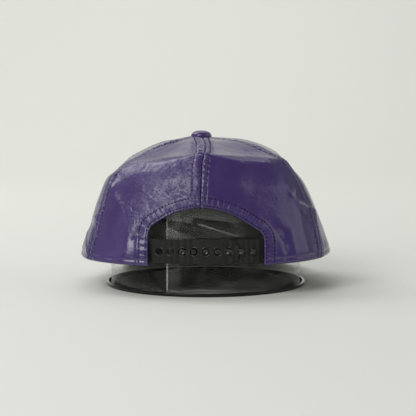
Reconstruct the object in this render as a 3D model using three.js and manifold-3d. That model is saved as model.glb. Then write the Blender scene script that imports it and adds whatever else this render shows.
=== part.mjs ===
// A six-panel cap of purple faux leather with a plastic snap strap, standing on a clear display stand.
// Millimetres, +Z up. The origin is the middle of the stand's underside, on the surface it stands on.
// The cap's back, with its opening and strap, faces -Y, its peak points to +Y, and +X is its wearer's right.
// An azimuth is in degrees round +Z from the back, growing towards +X.
import * as THREE from "three";
import { mergeVertices } from "three/addons/utils/BufferGeometryUtils.js";
import Module from "manifold-3d";

const wasm = await Module();
wasm.setup();

// The crown: its outside at the rim, and its height from the rim to the hole under the button.
const capWidth = 208.6;
const capDepth = 181;
const crownHeight = 99.4;
const crownWall = 1.6;
const rimSquareness = 2.6; // 2 is an ellipse, and more is squarer
const rimLift = 24.4; // from the floor to the rim
const leanLeft = 3.6; // how far the top leans to the left
const seamGap = 0.3; // between sewn neighbours
const seamRidge = 0.9;
const apexHole = 3;
const collarRadius = 12.5;
const collarDrop = 1.5;

// The opening over the strap, as seen from behind.
const archWidth = 91;
const archAcross = 0.6; // how far its middle lies to the right
const archHeight = 46; // from the rim to its top
const archSideLeft = 30.6; // from the rim to where its left side turns inwards
const archSideRight = 25.6;
const archLean = 3.4; // how far its top leans to the left
const archCorner = 9;
const archRound = 58;

// The snap strap's two strips.
const strapHeight = 18.8;
const strapThickness = 1.5;
const strapLift = 2.3; // from the rim to the strips' lower edge
const strapBow = 2.2;
const strapTab = 13; // what is sewn in behind the leather at each side
const strapSewn = 2; // how far inside the opening the strips still follow the leather
const strapGap = 0.3;
const strapCorner = 7;
const snapPitch = 9.15;
const snapCount = 7;
const snapsFastened = 5;
const snapMargin = 6.9; // from the last hole's middle to the strip's end
const studMargin = 5.2;
const firstHole = 8.7; // from the opening's left side to the first hole
const holeRadius = 2.9;
const studRadius = 2.3;
const studProud = 0.45;

// The band inside the rim.
const sweatbandHeight = 31;
const sweatbandLift = 0.4; // from the rim to its lower edge
const sweatbandWall = 1.2;
const sweatbandGap = 0.8;
const sweatbandEnd = 6; // how far its ends stop short of the opening's sides
const tuckStart = 3.5; // from the strap's sewn end to where the band steps out to the leather
const tuckRun = 11; // from the strap's sewn end to where it lies on the leather

// The peak.
const peakWidth = 172;
const peakReach = 71; // in front of the rim
const peakThickness = 3.4;
const peakSpread = 52; // degrees of rim on each side of the front
const peakSlope = 0.24;
const peakDroop = 7.5;
const peakSquareness = 2.35;
const peakGap = 0.3;

// The covered button on top.
const buttonDiameter = 17.4;
const buttonHeight = 4.6;
const buttonGap = 0.3;
const rivetRadius = 2.2;
const rivetReach = 3.2;

// The display stand: a clear sheet rolled into a band, in a shallow round base.
const bandClearance = 8.4; // between the band and the crown, where the rim is narrowest
const bandWall = 1;
const bandSeamWidth = 11;
const bandSeamStep = 0.5;
const bandSeamAzimuth = -22;
const bandSeat = 0.35; // between its top edge and the crown that rests on it
const baseThickness = 1.6;
const baseLipWidth = 2.5;
const baseLip = 2.6;
const baseBevel = 0.5;
const baseGap = 0.3;
const bandDiameter = Math.min(capWidth, capDepth) - 2 * (crownWall + bandClearance);
const baseDiameter = bandDiameter + 2 * (bandSeamStep + baseGap + baseLipWidth);

// How finely the curved pieces are faceted.
const backPanelColumns = 14;
const sidePanelColumns = 10;
const crownRows = 18;
const sweatbandColumns = 60;
const peakColumns = 26;
const peakRows = 6;
const strapSteps = 26;
const bandSegments = 72;
const baseSegments = 56;
const buttonSegments = 28;
const snapSegments = 14;

// Where the stations of a crown section lie along its length, from the rim at 0 to the button's hole at 1.
const stationPlaces = [0, 0.1, 0.4, 0.54, 0.64, 0.8, 0.93, 1];

// The crown's sections. R is a share of the rim's radius at that azimuth, and Z one of the crown's height.
const sectionTable = [
  {
    azimuth: -180, rimZ: 0.026, hipR: 0.992, hipZ: 0.13, shoulderR: 0.925, shoulderZ: 0.56,
    crestR: 0.82, crestZ: 0.78, browR: 0.69, browZ: 0.875, domeR: 0.37, domeZ: 0.955,
  },
  {
    azimuth: -140, rimZ: 0.02, hipR: 0.985, hipZ: 0.13, shoulderR: 0.885, shoulderZ: 0.56,
    crestR: 0.765, crestZ: 0.755, browR: 0.625, browZ: 0.85, domeR: 0.34, domeZ: 0.945,
  },
  {
    azimuth: -90, rimZ: 0.016, hipR: 0.974, hipZ: 0.13, shoulderR: 0.805, shoulderZ: 0.605,
    crestR: 0.686, crestZ: 0.714, browR: 0.56, browZ: 0.805, domeR: 0.34, domeZ: 0.928,
  },
  {
    azimuth: -40, rimZ: 0.01, hipR: 0.982, hipZ: 0.13, shoulderR: 0.86, shoulderZ: 0.59,
    crestR: 0.74, crestZ: 0.78, browR: 0.605, browZ: 0.84, domeR: 0.34, domeZ: 0.937,
  },
  {
    azimuth: 0, rimZ: 0, hipR: 0.992, hipZ: 0.13, shoulderR: 0.93, shoulderZ: 0.61,
    crestR: 0.8, crestZ: 0.825, browR: 0.68, browZ: 0.88, domeR: 0.37, domeZ: 0.955,
  },
  {
    azimuth: 40, rimZ: 0.02, hipR: 0.984, hipZ: 0.13, shoulderR: 0.865, shoulderZ: 0.6,
    crestR: 0.74, crestZ: 0.8, browR: 0.61, browZ: 0.865, domeR: 0.35, domeZ: 0.957,
  },
  {
    azimuth: 90, rimZ: 0.042, hipR: 0.976, hipZ: 0.13, shoulderR: 0.797, shoulderZ: 0.61,
    crestR: 0.686, crestZ: 0.745, browR: 0.602, browZ: 0.849, domeR: 0.36, domeZ: 0.957,
  },
  {
    azimuth: 140, rimZ: 0.024, hipR: 0.985, hipZ: 0.13, shoulderR: 0.885, shoulderZ: 0.56,
    crestR: 0.77, crestZ: 0.765, browR: 0.635, browZ: 0.868, domeR: 0.355, domeZ: 0.955,
  },
];

// The soft folds and dents. Up is a share of a section's length; wide, tall and out are shares of the
// cap's width, the crown's height and the cap's width. A positive out swells, a negative one sinks.
const foldTable = [
  { name: "left hollow", azimuth: -79, up: 0.2, wide: 0.07, tall: 0.05, turn: 12, out: -0.0075 },
  { name: "left swell", azimuth: -55, up: 0.33, wide: 0.05, tall: 0.16, turn: 0, out: 0.008 },
  { name: "right dent", azimuth: 60, up: 0.37, wide: 0.085, tall: 0.15, turn: -15, out: -0.014 },
  { name: "right dent's lip", azimuth: 64, up: 0.27, wide: 0.085, tall: 0.04, turn: -20, out: 0.006 },
  { name: "right facet edge", azimuth: 49, up: 0.14, wide: 0.035, tall: 0.3, turn: 0, out: 0.007 },
  { name: "swell left of opening", azimuth: -39, up: 0.09, wide: 0.04, tall: 0.22, turn: -6, out: 0.0085 },
  { name: "swell right of opening", azimuth: 41, up: 0.09, wide: 0.04, tall: 0.2, turn: 8, out: 0.006 },
  { name: "flat beside left seam", azimuth: -27, up: 0.36, wide: 0.13, tall: 0.2, turn: 0, out: -0.006 },
  { name: "flat beside right seam", azimuth: 27, up: 0.38, wide: 0.15, tall: 0.22, turn: 0, out: -0.008 },
  { name: "front left hollow", azimuth: -148, up: 0.5, wide: 0.14, tall: 0.12, turn: 20, out: -0.009 },
  { name: "front right hollow", azimuth: 150, up: 0.47, wide: 0.14, tall: 0.12, turn: -25, out: -0.008 },
  { name: "side left hollow", azimuth: -103, up: 0.42, wide: 0.11, tall: 0.1, turn: -15, out: -0.0075 },
  { name: "side right hollow", azimuth: 106, up: 0.4, wide: 0.11, tall: 0.1, turn: 15, out: -0.0075 },
];

const degrees = Math.PI / 180;
const panelCount = 6;
const panelSpan = 360 / panelCount;

function smooth(from, to, value) {
  return THREE.MathUtils.smoothstep(value, from, to);
}

// A curve through the values at the places, smooth at each of them.
function throughPlaces(places, values, place) {
  const last = places.length - 1;
  let k = 0;
  while (k < last - 1 && place > places[k + 1]) k += 1;
  const slope = (i) => {
    const before = Math.max(i - 1, 0);
    const after = Math.min(i + 1, last);
    return (values[after] - values[before]) / (places[after] - places[before]);
  };
  const run = places[k + 1] - places[k];
  const s = (place - places[k]) / run;
  const startPull = s * s * s - 2 * s * s + s;
  const endPull = s * s * s - s * s;
  const cross = 3 * s * s - 2 * s * s * s;
  return (
    values[k] * (1 - cross) +
    values[k + 1] * cross +
    run * (slope(k) * startPull + slope(k + 1) * endPull)
  );
}

// The section table's column at any azimuth, going smoothly round the crown.
function sectionShare(column, azimuth) {
  const rows = sectionTable.length;
  const turn = THREE.MathUtils.euclideanModulo(azimuth + 180, 360) - 180;
  const places = [];
  const values = [];
  for (let i = -2; i <= rows + 2; i += 1) {
    const row = sectionTable[THREE.MathUtils.euclideanModulo(i, rows)];
    places.push(row.azimuth + 360 * Math.floor(i / rows));
    values.push(row[column]);
  }
  return throughPlaces(places, values, turn);
}

// The rim's outline seen from above.
function rimRadius(azimuth) {
  const across = Math.abs(Math.sin(azimuth * degrees)) / (capWidth / 2);
  const along = Math.abs(Math.cos(azimuth * degrees)) / (capDepth / 2);
  return (across ** rimSquareness + along ** rimSquareness) ** (-1 / rimSquareness);
}

function rimHeight(azimuth) {
  return rimLift + crownHeight * sectionShare("rimZ", azimuth);
}

// A point of the crown's outside without its folds: up goes from 0 at the rim to 1 at the button's hole.
function plainCrown(azimuth, up) {
  const rim = rimRadius(azimuth);
  const radii = [rim];
  const heights = [rimHeight(azimuth)];
  for (const station of ["hip", "shoulder", "crest", "brow", "dome"]) {
    radii.push(rim * sectionShare(station + "R", azimuth));
    heights.push(rimLift + crownHeight * sectionShare(station + "Z", azimuth));
  }
  radii.push(collarRadius, apexHole);
  heights.push(rimLift + crownHeight - collarDrop, rimLift + crownHeight);
  const radius = throughPlaces(stationPlaces, radii, up);
  const height = throughPlaces(stationPlaces, heights, up);
  const lean = -leanLeft * smooth(0.2, 0.93, up);
  return new THREE.Vector3(
    lean + radius * Math.sin(azimuth * degrees),
    -radius * Math.cos(azimuth * degrees),
    height,
  );
}

// How far the folds, dents and seams move the leather outwards.
function foldOut(azimuth, up) {
  const length = crownHeight * 1.5;
  let out = 0;
  for (const fold of foldTable) {
    const turned = THREE.MathUtils.euclideanModulo(azimuth - fold.azimuth + 180, 360) - 180;
    const across = turned * degrees * (capWidth / 2);
    const above = (up - fold.up) * length;
    const cos = Math.cos(fold.turn * degrees);
    const sin = Math.sin(fold.turn * degrees);
    const wide = (across * cos + above * sin) / (fold.wide * capWidth);
    const tall = (above * cos - across * sin) / (fold.tall * crownHeight);
    out += fold.out * capWidth * Math.exp(-wide * wide - tall * tall);
  }
  const ridge = seamRidge * Math.cos(panelCount * azimuth * degrees);
  return out + ridge * smooth(0.1, 0.5, up) * (1 - smooth(0.72, 0.86, up));
}

function crownNormal(azimuth, up) {
  const step = 0.01;
  const low = Math.max(up - step, 0);
  const high = Math.min(up + step, 1);
  const across = plainCrown(azimuth + 1, up).sub(plainCrown(azimuth - 1, up));
  const upwards = plainCrown(azimuth, high).sub(plainCrown(azimuth, low));
  return across.cross(upwards).normalize();
}

// A point of the crown, at a depth under its outside.
function crownPoint(azimuth, up, depth = 0) {
  const out = foldOut(azimuth, up) - depth;
  return plainCrown(azimuth, up).addScaledVector(crownNormal(azimuth, up), out);
}

// Solids and geometries.
function solidFrom(geometry) {
  const plain = new THREE.BufferGeometry();
  plain.setAttribute("position", geometry.getAttribute("position"));
  if (geometry.index) plain.setIndex(geometry.index);
  const merged = mergeVertices(plain, 1e-4);
  const mesh = new wasm.Mesh({
    numProp: 3,
    vertProperties: new Float32Array(merged.attributes.position.array),
    triVerts: new Uint32Array(merged.index.array),
  });
  return new wasm.Manifold(mesh);
}

function geometryFrom(solid) {
  const mesh = solid.getMesh();
  const geometry = new THREE.BufferGeometry();
  geometry.setAttribute("position", new THREE.BufferAttribute(mesh.vertProperties, 3));
  geometry.setIndex(new THREE.BufferAttribute(mesh.triVerts, 1));
  const flat = geometry.toNonIndexed();
  flat.computeVertexNormals();
  return flat;
}

// A closed wall between two grids of points, face[column][row] outside and back[column][row] behind it.
function wallBetween(face, back) {
  const columns = face.length;
  const rows = face[0].length;
  const positions = [];
  for (const grid of [face, back]) {
    for (const line of grid) {
      for (const point of line) positions.push(point.x, point.y, point.z);
    }
  }
  const at = (side, i, j) => (side * columns + i) * rows + j;
  const indices = [];
  const quad = (a, b, c, d) => indices.push(a, b, c, a, c, d);
  for (let i = 0; i < columns - 1; i += 1) {
    for (let j = 0; j < rows - 1; j += 1) {
      quad(at(0, i, j), at(0, i + 1, j), at(0, i + 1, j + 1), at(0, i, j + 1));
      quad(at(1, i, j), at(1, i, j + 1), at(1, i + 1, j + 1), at(1, i + 1, j));
    }
    quad(at(0, i, 0), at(1, i, 0), at(1, i + 1, 0), at(0, i + 1, 0));
    const top = rows - 1;
    quad(at(0, i, top), at(0, i + 1, top), at(1, i + 1, top), at(1, i, top));
  }
  for (let j = 0; j < rows - 1; j += 1) {
    const end = columns - 1;
    quad(at(0, 0, j), at(0, 0, j + 1), at(1, 0, j + 1), at(1, 0, j));
    quad(at(0, end, j), at(1, end, j), at(1, end, j + 1), at(0, end, j + 1));
  }
  const geometry = new THREE.BufferGeometry();
  geometry.setAttribute("position", new THREE.Float32BufferAttribute(positions, 3));
  geometry.setIndex(indices);
  return geometry;
}

function lathe(profile, segments) {
  const points = profile.map(([radius, height]) => new THREE.Vector2(radius, height));
  const geometry = new THREE.LatheGeometry(points, segments);
  return geometry.rotateX(Math.PI / 2);
}

// A grid of points, from counts of columns and rows and a function of their shares.
function gridOf(columns, rows, pointAt) {
  const grid = [];
  for (let i = 0; i <= columns; i += 1) {
    const line = [];
    for (let j = 0; j <= rows; j += 1) line.push(pointAt(i / columns, j / rows));
    grid.push(line);
  }
  return grid;
}

// Materials.
const leather = new THREE.MeshStandardMaterial({ color: 0x4b3f6e, roughness: 0.38, metalness: 0 });
const lining = new THREE.MeshStandardMaterial({ color: 0x1b1b1c, roughness: 0.9, metalness: 0 });
const blackPlastic = new THREE.MeshStandardMaterial({ color: 0x1a1a19, roughness: 0.5, metalness: 0 });
const glossyBlack = new THREE.MeshStandardMaterial({ color: 0x2a2b29, roughness: 0.12, metalness: 0 });
const clearPlastic = new THREE.MeshStandardMaterial({
  color: 0xf2f4f0,
  roughness: 0.05,
  metalness: 0,
  transparent: true,
  opacity: 0.25,
});

const cap = new THREE.Group();

function addPiece(name, geometry, material, parent = cap) {
  const mesh = new THREE.Mesh(geometry, material);
  mesh.name = name;
  parent.add(mesh);
  return mesh;
}

// The opening's outline: two sides, two slopes and a rounded top, each corner an arc.
function archShape() {
  const half = archWidth / 2;
  const below = -archHeight;
  const feet = [new THREE.Vector2(-half, below), new THREE.Vector2(half, below)];
  const left = new THREE.Vector2(-half, archSideLeft);
  const right = new THREE.Vector2(half, archSideRight);
  const apex = new THREE.Vector2(-archLean, archHeight);
  const round = (before, here, after, radius) => {
    const back = before.clone().sub(here).normalize();
    const on = after.clone().sub(here).normalize();
    const halfAngle = Math.acos(back.dot(on)) / 2;
    const run = radius / Math.tan(halfAngle);
    const middle = back.clone().add(on).setLength(radius / Math.sin(halfAngle)).add(here);
    const start = here.clone().addScaledVector(back, run).sub(middle).angle();
    const end = here.clone().addScaledVector(on, run).sub(middle).angle();
    return { middle, radius, start, end };
  };
  const rise = archHeight - Math.min(archSideLeft, archSideRight);
  const topRound = Math.min(archRound, (0.96 * (half ** 2 + rise ** 2)) / (2 * rise));
  for (let k = 0; k < 12; k += 1) {
    const top = round(left, apex, right, topRound);
    apex.y += archHeight - (top.middle.y + topRound);
  }
  const shape = new THREE.Shape();
  shape.moveTo(feet[0].x, feet[0].y);
  shape.lineTo(feet[0].x, 0);
  const corners = [
    round(feet[0], left, apex, archCorner),
    round(left, apex, right, topRound),
    round(apex, right, feet[1], archCorner),
  ];
  for (const arc of corners) {
    shape.absarc(arc.middle.x, arc.middle.y, arc.radius, arc.start, arc.end, true);
  }
  shape.lineTo(feet[1].x, feet[1].y);
  shape.closePath();
  return shape;
}

// The opening as a solid that reaches through the crown's back wall, and no further.
function archCutter() {
  const geometry = new THREE.ExtrudeGeometry(archShape(), {
    depth: capDepth / 2,
    bevelEnabled: false,
    curveSegments: 8,
  });
  geometry.rotateX(Math.PI / 2);
  geometry.translate(archAcross, -capDepth / 4, rimLift);
  return solidFrom(geometry);
}

// A panel between two seams, which run down from the button.
function crownPanel(firstSeam, columns) {
  const azimuthAt = (across, up) => {
    const radius = THREE.MathUtils.lerp(rimRadius(firstSeam), apexHole, up);
    const inset = seamGap / 2 / radius / degrees;
    return firstSeam + inset + (panelSpan - 2 * inset) * across;
  };
  const layer = (depth) =>
    gridOf(columns, crownRows, (across, up) => crownPoint(azimuthAt(across, up), up, depth));
  return wallBetween(layer(0), layer(crownWall));
}

const opening = archCutter();
const panels = [
  { name: "crown_panel_back_left", seam: -panelSpan, columns: backPanelColumns, opened: true },
  { name: "crown_panel_back_right", seam: 0, columns: backPanelColumns, opened: true },
  { name: "crown_panel_side_right", seam: panelSpan, columns: sidePanelColumns },
  { name: "crown_panel_front_right", seam: 2 * panelSpan, columns: sidePanelColumns },
  { name: "crown_panel_front_left", seam: 3 * panelSpan, columns: sidePanelColumns },
  { name: "crown_panel_side_left", seam: 4 * panelSpan, columns: sidePanelColumns },
];
for (const panel of panels) {
  const whole = crownPanel(panel.seam, panel.columns);
  const geometry = panel.opened ? geometryFrom(solidFrom(whole).subtract(opening)) : whole;
  addPiece(panel.name, geometry, leather);
}

// The covered button: a low dome whose underside follows the crown, on the rivet that holds it.
function buttonGeometry() {
  const topZ = (radius) => {
    const up = throughPlaces([apexHole, collarRadius], [1, stationPlaces[6]], radius);
    let height = 0;
    for (let azimuth = 0; azimuth < 360; azimuth += 15) {
      height = Math.max(height, crownPoint(azimuth, Math.min(up, 1)).z);
    }
    return height;
  };
  const radius = buttonDiameter / 2;
  const seat = topZ(apexHole) + buttonGap;
  const edge = topZ(radius) + buttonGap;
  const top = rimLift + crownHeight + buttonHeight;
  const shoulder = edge + (top - edge) * 0.3;
  const profile = [
    [0, seat - rivetReach],
    [rivetRadius, seat - rivetReach],
    [rivetRadius, seat],
    [radius - 0.5, edge],
    [radius, edge + 0.5],
  ];
  const domeSteps = 6;
  for (let k = 0; k <= domeSteps; k += 1) {
    const angle = (Math.PI / 2) * (k / domeSteps);
    const out = k === domeSteps ? 0 : radius * Math.cos(angle);
    profile.push([out, shoulder + (top - shoulder) * Math.sin(angle)]);
  }
  return lathe(profile, buttonSegments).translate(-leanLeft, 0, 0);
}
addPiece("top_button", buttonGeometry(), leather);

// The stretch of a section, from the rim up, that has the given height above the rim.
function upAtHeight(azimuth, height) {
  let low = 0;
  let high = stationPlaces[3];
  for (let k = 0; k < 24; k += 1) {
    const middle = (low + high) / 2;
    if (plainCrown(azimuth, middle).z - rimHeight(azimuth) < height) low = middle;
    else high = middle;
  }
  return (low + high) / 2;
}

const strapMiddle = rimLift + strapLift + strapHeight / 2;
const strapEdge = archWidth / 2;

// How far back the inside of the leather lies at a distance across, over the strap's whole height.
function strapSeat(across) {
  let seat = -capDepth;
  for (const level of [0, 0.5, 1]) {
    const height = strapLift + strapHeight * level;
    let before = null;
    for (let azimuth = 0; azimuth <= 75; azimuth += 2.5) {
      const point = crownPoint(azimuth, upAtHeight(azimuth, height), crownWall + strapGap);
      const mirrored = crownPoint(-azimuth, upAtHeight(-azimuth, height), crownWall + strapGap);
      const here = {
        x: Math.min(point.x, -mirrored.x),
        y: Math.max(point.y, mirrored.y),
      };
      if (before && before.x <= across && across <= here.x) {
        const share = (across - before.x) / (here.x - before.x);
        seat = Math.max(seat, before.y + share * (here.y - before.y));
      }
      before = here;
    }
  }
  return seat;
}

// The strap's outside, seen from above: along the leather where it is sewn in, and bowed between.
function strapLine(across) {
  const bowEdge = strapEdge - strapSewn;
  const distance = Math.abs(across);
  if (distance >= bowEdge) return strapSeat(distance);
  return strapSeat(bowEdge) - strapBow * (1 - (distance / bowEdge) ** 2);
}

// A strip of the strap, between two distances across, with a round end on its free side.
function strapStrip(from, to, freeEnd, lift) {
  const half = (across) => {
    const inside = Math.abs(freeEnd - across);
    const past = Math.max(0, strapCorner - inside);
    return strapHeight / 2 - strapCorner + Math.sqrt(strapCorner ** 2 - past ** 2);
  };
  const line = (across) => new THREE.Vector2(across, strapLine(across) - lift(across));
  const face = [];
  const back = [];
  for (let k = 0; k <= strapSteps; k += 1) {
    const across = from + ((to - from) * (1 - Math.cos((Math.PI * k) / strapSteps))) / 2;
    const ahead = line(across + 0.5).sub(line(across - 0.5)).normalize();
    const point = line(across);
    const inner = new THREE.Vector2(-ahead.y, ahead.x).multiplyScalar(strapThickness).add(point);
    const high = half(across);
    face.push([-high, high].map((z) => new THREE.Vector3(point.x, point.y, strapMiddle + z)));
    back.push([-high, high].map((z) => new THREE.Vector3(inner.x, inner.y, strapMiddle + z)));
  }
  return solidFrom(wallBetween(face, back));
}

// A short round bar across the strap at one snap, reaching from one distance behind its line to another.
function snapBar(across, radius, outside, inside) {
  const bar = new THREE.CylinderGeometry(radius, radius, outside + inside, snapSegments);
  const centre = strapLine(across) + (inside - outside) / 2;
  return solidFrom(bar.translate(across, centre, strapMiddle));
}

const snapAt = (k) => archAcross - strapEdge + firstHole + snapPitch * k;
const overlapLift = strapThickness + strapGap;
const holeStripEnd = snapAt(snapCount - 1) + snapMargin;
const studStripEnd = snapAt(snapCount - snapsFastened) - studMargin;

function holeStrip() {
  const lift = (across) => overlapLift * smooth(-strapEdge + 2, studStripEnd - 1, across);
  let strip = strapStrip(-strapEdge - strapTab, holeStripEnd, holeStripEnd, lift);
  for (let k = 0; k < snapCount; k += 1) {
    strip = strip.subtract(snapBar(snapAt(k), holeRadius, 3 * overlapLift, strapThickness + 1));
  }
  return geometryFrom(strip);
}

function studStrip() {
  let strip = strapStrip(studStripEnd, strapEdge + strapTab, studStripEnd, () => 0);
  for (let k = snapCount - snapsFastened; k < snapCount * 2 - snapsFastened; k += 1) {
    if (snapAt(k) + studRadius > strapEdge - strapSewn) break;
    strip = strip.add(snapBar(snapAt(k), studRadius, overlapLift + studProud, strapThickness / 2));
  }
  return geometryFrom(strip);
}
addPiece("snap_strap_holes", holeStrip(), blackPlastic);
addPiece("snap_strap_studs", studStrip(), blackPlastic);

// The band inside the rim, from one side of the opening round the front to the other. It steps in
// behind the strap's sewn ends.
function sweatbandGeometry() {
  const startAzimuth = Math.atan2(strapEdge + sweatbandEnd, capDepth / 2) / degrees;
  const tabEnd = strapEdge + strapTab;
  const behindStrap = strapThickness + strapGap + sweatbandGap;
  const depthAt = (azimuth, up) => {
    const plain = crownWall + sweatbandGap;
    const outside = crownPoint(azimuth, up);
    const across = Math.abs(outside.x);
    if (outside.y > 0 || across > tabEnd + tuckRun) return plain;
    const backward = -crownNormal(azimuth, up).y;
    const tucked = Math.max(plain, (strapLine(across) + behindStrap - outside.y) / backward);
    return THREE.MathUtils.lerp(tucked, plain, smooth(tabEnd + tuckStart, tabEnd + tuckRun, across));
  };
  const layer = (extra) =>
    gridOf(sweatbandColumns, 3, (along, rise) => {
      const azimuth = startAzimuth + (360 - 2 * startAzimuth) * along;
      const up = upAtHeight(azimuth, sweatbandLift + sweatbandHeight * rise);
      return crownPoint(azimuth, up, depthAt(azimuth, up) + extra);
    });
  return wallBetween(layer(0), layer(sweatbandWall));
}
addPiece("sweatband", sweatbandGeometry(), lining);

// The peak: a stiff curved board covered in the same leather, sewn under the front of the rim.
function peakGeometry() {
  const endAzimuth = 180 - peakSpread;
  const rimPoint = (along) => {
    const azimuth = 180 - peakSpread * along;
    const edge = crownPoint(azimuth, 0, crownWall);
    edge.z = Math.min(edge.z, rimHeight(azimuth)) - peakGap;
    return edge;
  };
  const endY = -rimRadius(endAzimuth) * Math.cos(endAzimuth * degrees);
  const tipReach = capDepth / 2 + peakReach - endY;
  const outline = (along) => {
    const angle = (Math.PI / 2) * along;
    const power = 2 / peakSquareness;
    return new THREE.Vector3(
      (peakWidth / 2) * Math.sign(angle) * Math.abs(Math.sin(angle)) ** power,
      endY + tipReach * Math.abs(Math.cos(angle)) ** power,
      0,
    );
  };
  const layer = (depth) =>
    gridOf(peakColumns, peakRows, (across, out) => {
      const along = across * 2 - 1;
      const inner = rimPoint(along);
      const outer = outline(along);
      const point = new THREE.Vector3(
        THREE.MathUtils.lerp(inner.x, outer.x, out),
        THREE.MathUtils.lerp(inner.y, outer.y, out),
        inner.z,
      );
      const run = Math.hypot(point.x - inner.x, point.y - inner.y);
      const sideways = Math.abs(point.x) / (peakWidth / 2);
      point.z -= peakSlope * run + peakDroop * sideways ** 2 * smooth(0, 1, out) + depth;
      return point;
    });
  return wallBetween(layer(0), layer(peakThickness));
}
addPiece("peak", peakGeometry(), leather);

// The height at which the crown's faceted inside comes down onto the top edge of the stand's band.
function bandTop() {
  const reach = bandDiameter / 2 + bandSeamStep + bandSeat;
  let lowest = rimLift + crownHeight;
  for (let k = 0; k < panelCount * sidePanelColumns; k += 1) {
    const azimuth = (panelSpan / sidePanelColumns) * k;
    let before = crownPoint(azimuth, 0, crownWall);
    for (let row = 1; row <= crownRows; row += 1) {
      const here = crownPoint(azimuth, row / crownRows, crownWall);
      const radiusBefore = Math.hypot(before.x, before.y);
      const radiusHere = Math.hypot(here.x, here.y);
      if (radiusBefore >= reach && radiusHere < reach) {
        const share = (radiusBefore - reach) / (radiusBefore - radiusHere);
        lowest = Math.min(lowest, before.z + share * (here.z - before.z));
      }
      before = here;
    }
  }
  return lowest - bandSeat;
}

const stand = new THREE.Group();
cap.add(stand);

// The clear sheet, rolled into a band, with its end lapped over its start.
function bandGeometry() {
  const radius = bandDiameter / 2;
  const start = (bandSeamAzimuth - 90) * degrees;
  const lap = bandSeamWidth / radius;
  const arc = (arcRadius, from, to, steps) => {
    const points = [];
    for (let k = 0; k <= steps; k += 1) {
      const angle = from + ((to - from) * k) / steps;
      points.push(new THREE.Vector2(arcRadius * Math.cos(angle), arcRadius * Math.sin(angle)));
    }
    return points;
  };
  const turnEnd = start + 2 * Math.PI;
  const lapSteps = Math.ceil((bandSegments * lap) / (2 * Math.PI));
  const shape = new THREE.Shape([
    ...arc(radius + bandSeamStep, start, start + lap, lapSteps),
    ...arc(radius, start + lap, turnEnd, bandSegments),
  ]);
  shape.holes.push(new THREE.Path(arc(radius - bandWall, start, turnEnd, bandSegments).slice(1)));
  const foot = baseThickness + baseGap;
  const geometry = new THREE.ExtrudeGeometry(shape, { depth: bandTop() - foot, bevelEnabled: false });
  return geometry.translate(0, 0, foot);
}
addPiece("stand_band", bandGeometry(), clearPlastic, stand);

// The base: a thin glossy disc with a low lip that the band stands inside.
function baseGeometry() {
  const radius = baseDiameter / 2;
  const inside = bandDiameter / 2 + bandSeamStep + baseGap;
  const profile = [
    [0, 0],
    [radius - baseBevel, 0],
    [radius, baseBevel],
    [radius, baseLip - baseBevel],
    [radius - baseBevel, baseLip],
    [inside, baseLip],
    [inside, baseThickness],
    [0, baseThickness],
  ];
  return lathe(profile, baseSegments);
}
addPiece("stand_base", baseGeometry(), glossyBlack, stand);

export default cap;
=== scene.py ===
# A purple faux leather cap with a snap strap, seen from behind on its clear display stand.
# Metres, +Z up. The cap's back faces -Y and its peak +Y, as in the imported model.
# The leather's own shape is worked out in millimetres, from the same sections as the model's.
import math

import bmesh
import bpy
import numpy as np
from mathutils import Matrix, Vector, noise


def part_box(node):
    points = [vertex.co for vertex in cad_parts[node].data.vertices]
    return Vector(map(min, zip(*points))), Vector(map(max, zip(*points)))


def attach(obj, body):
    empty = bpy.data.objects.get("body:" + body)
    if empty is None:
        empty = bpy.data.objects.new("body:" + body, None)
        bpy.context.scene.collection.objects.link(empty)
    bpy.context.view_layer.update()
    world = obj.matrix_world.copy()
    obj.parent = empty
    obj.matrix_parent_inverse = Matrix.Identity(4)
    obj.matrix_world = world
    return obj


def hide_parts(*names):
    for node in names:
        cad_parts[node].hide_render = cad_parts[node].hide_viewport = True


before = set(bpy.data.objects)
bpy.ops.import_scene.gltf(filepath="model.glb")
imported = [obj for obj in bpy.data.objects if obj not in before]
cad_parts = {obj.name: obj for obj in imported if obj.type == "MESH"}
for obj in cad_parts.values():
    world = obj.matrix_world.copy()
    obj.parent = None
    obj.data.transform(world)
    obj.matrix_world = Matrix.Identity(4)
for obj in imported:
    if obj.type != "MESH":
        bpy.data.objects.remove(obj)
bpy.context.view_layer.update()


# The camera stands a little over a metre behind the cap, just above its top, and looks slightly down.
# Its lens is a long one, as for a product picture, and gives the picture's frame at 416 by 416 pixels.
camera_distance = 1.1
camera_height = 0.160
camera_aside = 0.0021
camera_tilt = math.radians(5.04)
sensor_width = 36.0
picture_width = 416
focal_pixels = 1310

camera_data = bpy.data.cameras.new("camera")
camera_data.sensor_width = sensor_width
camera_data.lens = focal_pixels * sensor_width / picture_width
camera = bpy.data.objects.new("camera", camera_data)
camera.location = (camera_aside, -camera_distance, camera_height)
camera.rotation_euler = (math.pi / 2 - camera_tilt, 0, 0)
bpy.context.collection.objects.link(camera)
bpy.context.scene.camera = camera


# The studio is a pale floor that sweeps up into a pale wall, as a roll of backdrop paper does. Seven
# soft lights stand round it: one overhead, three at the sides, two at the camera's end and one for the
# wall. The room behind them is dim, and shows pale where the camera sees past the paper.
def deselect():
    if bpy.context.object and bpy.context.object.mode == "EDIT":
        bpy.ops.object.mode_set(mode="OBJECT")
    bpy.ops.object.select_all(action="DESELECT")


def plug(tree, socket, value):
    """Sets a node's socket, or links it where the value comes from another node."""
    if isinstance(value, Shade):
        tree.links.new(value.socket, socket)
    elif socket.type == "RGBA" and len(value) == 3:
        socket.default_value = (*value, 1.0)
    else:
        socket.default_value = value


def add_node(tree, kind, settings=None, sockets=None, output=0):
    """Adds a node with its settings and its sockets' values, and gives the output that is asked for."""
    node = tree.nodes.new("ShaderNode" + kind)
    for name, value in (settings or {}).items():
        setattr(node, name, value)
    for name, value in (sockets or {}).items():
        plug(tree, node.inputs[name], value)
    return Shade(tree, node.outputs[output])


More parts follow.
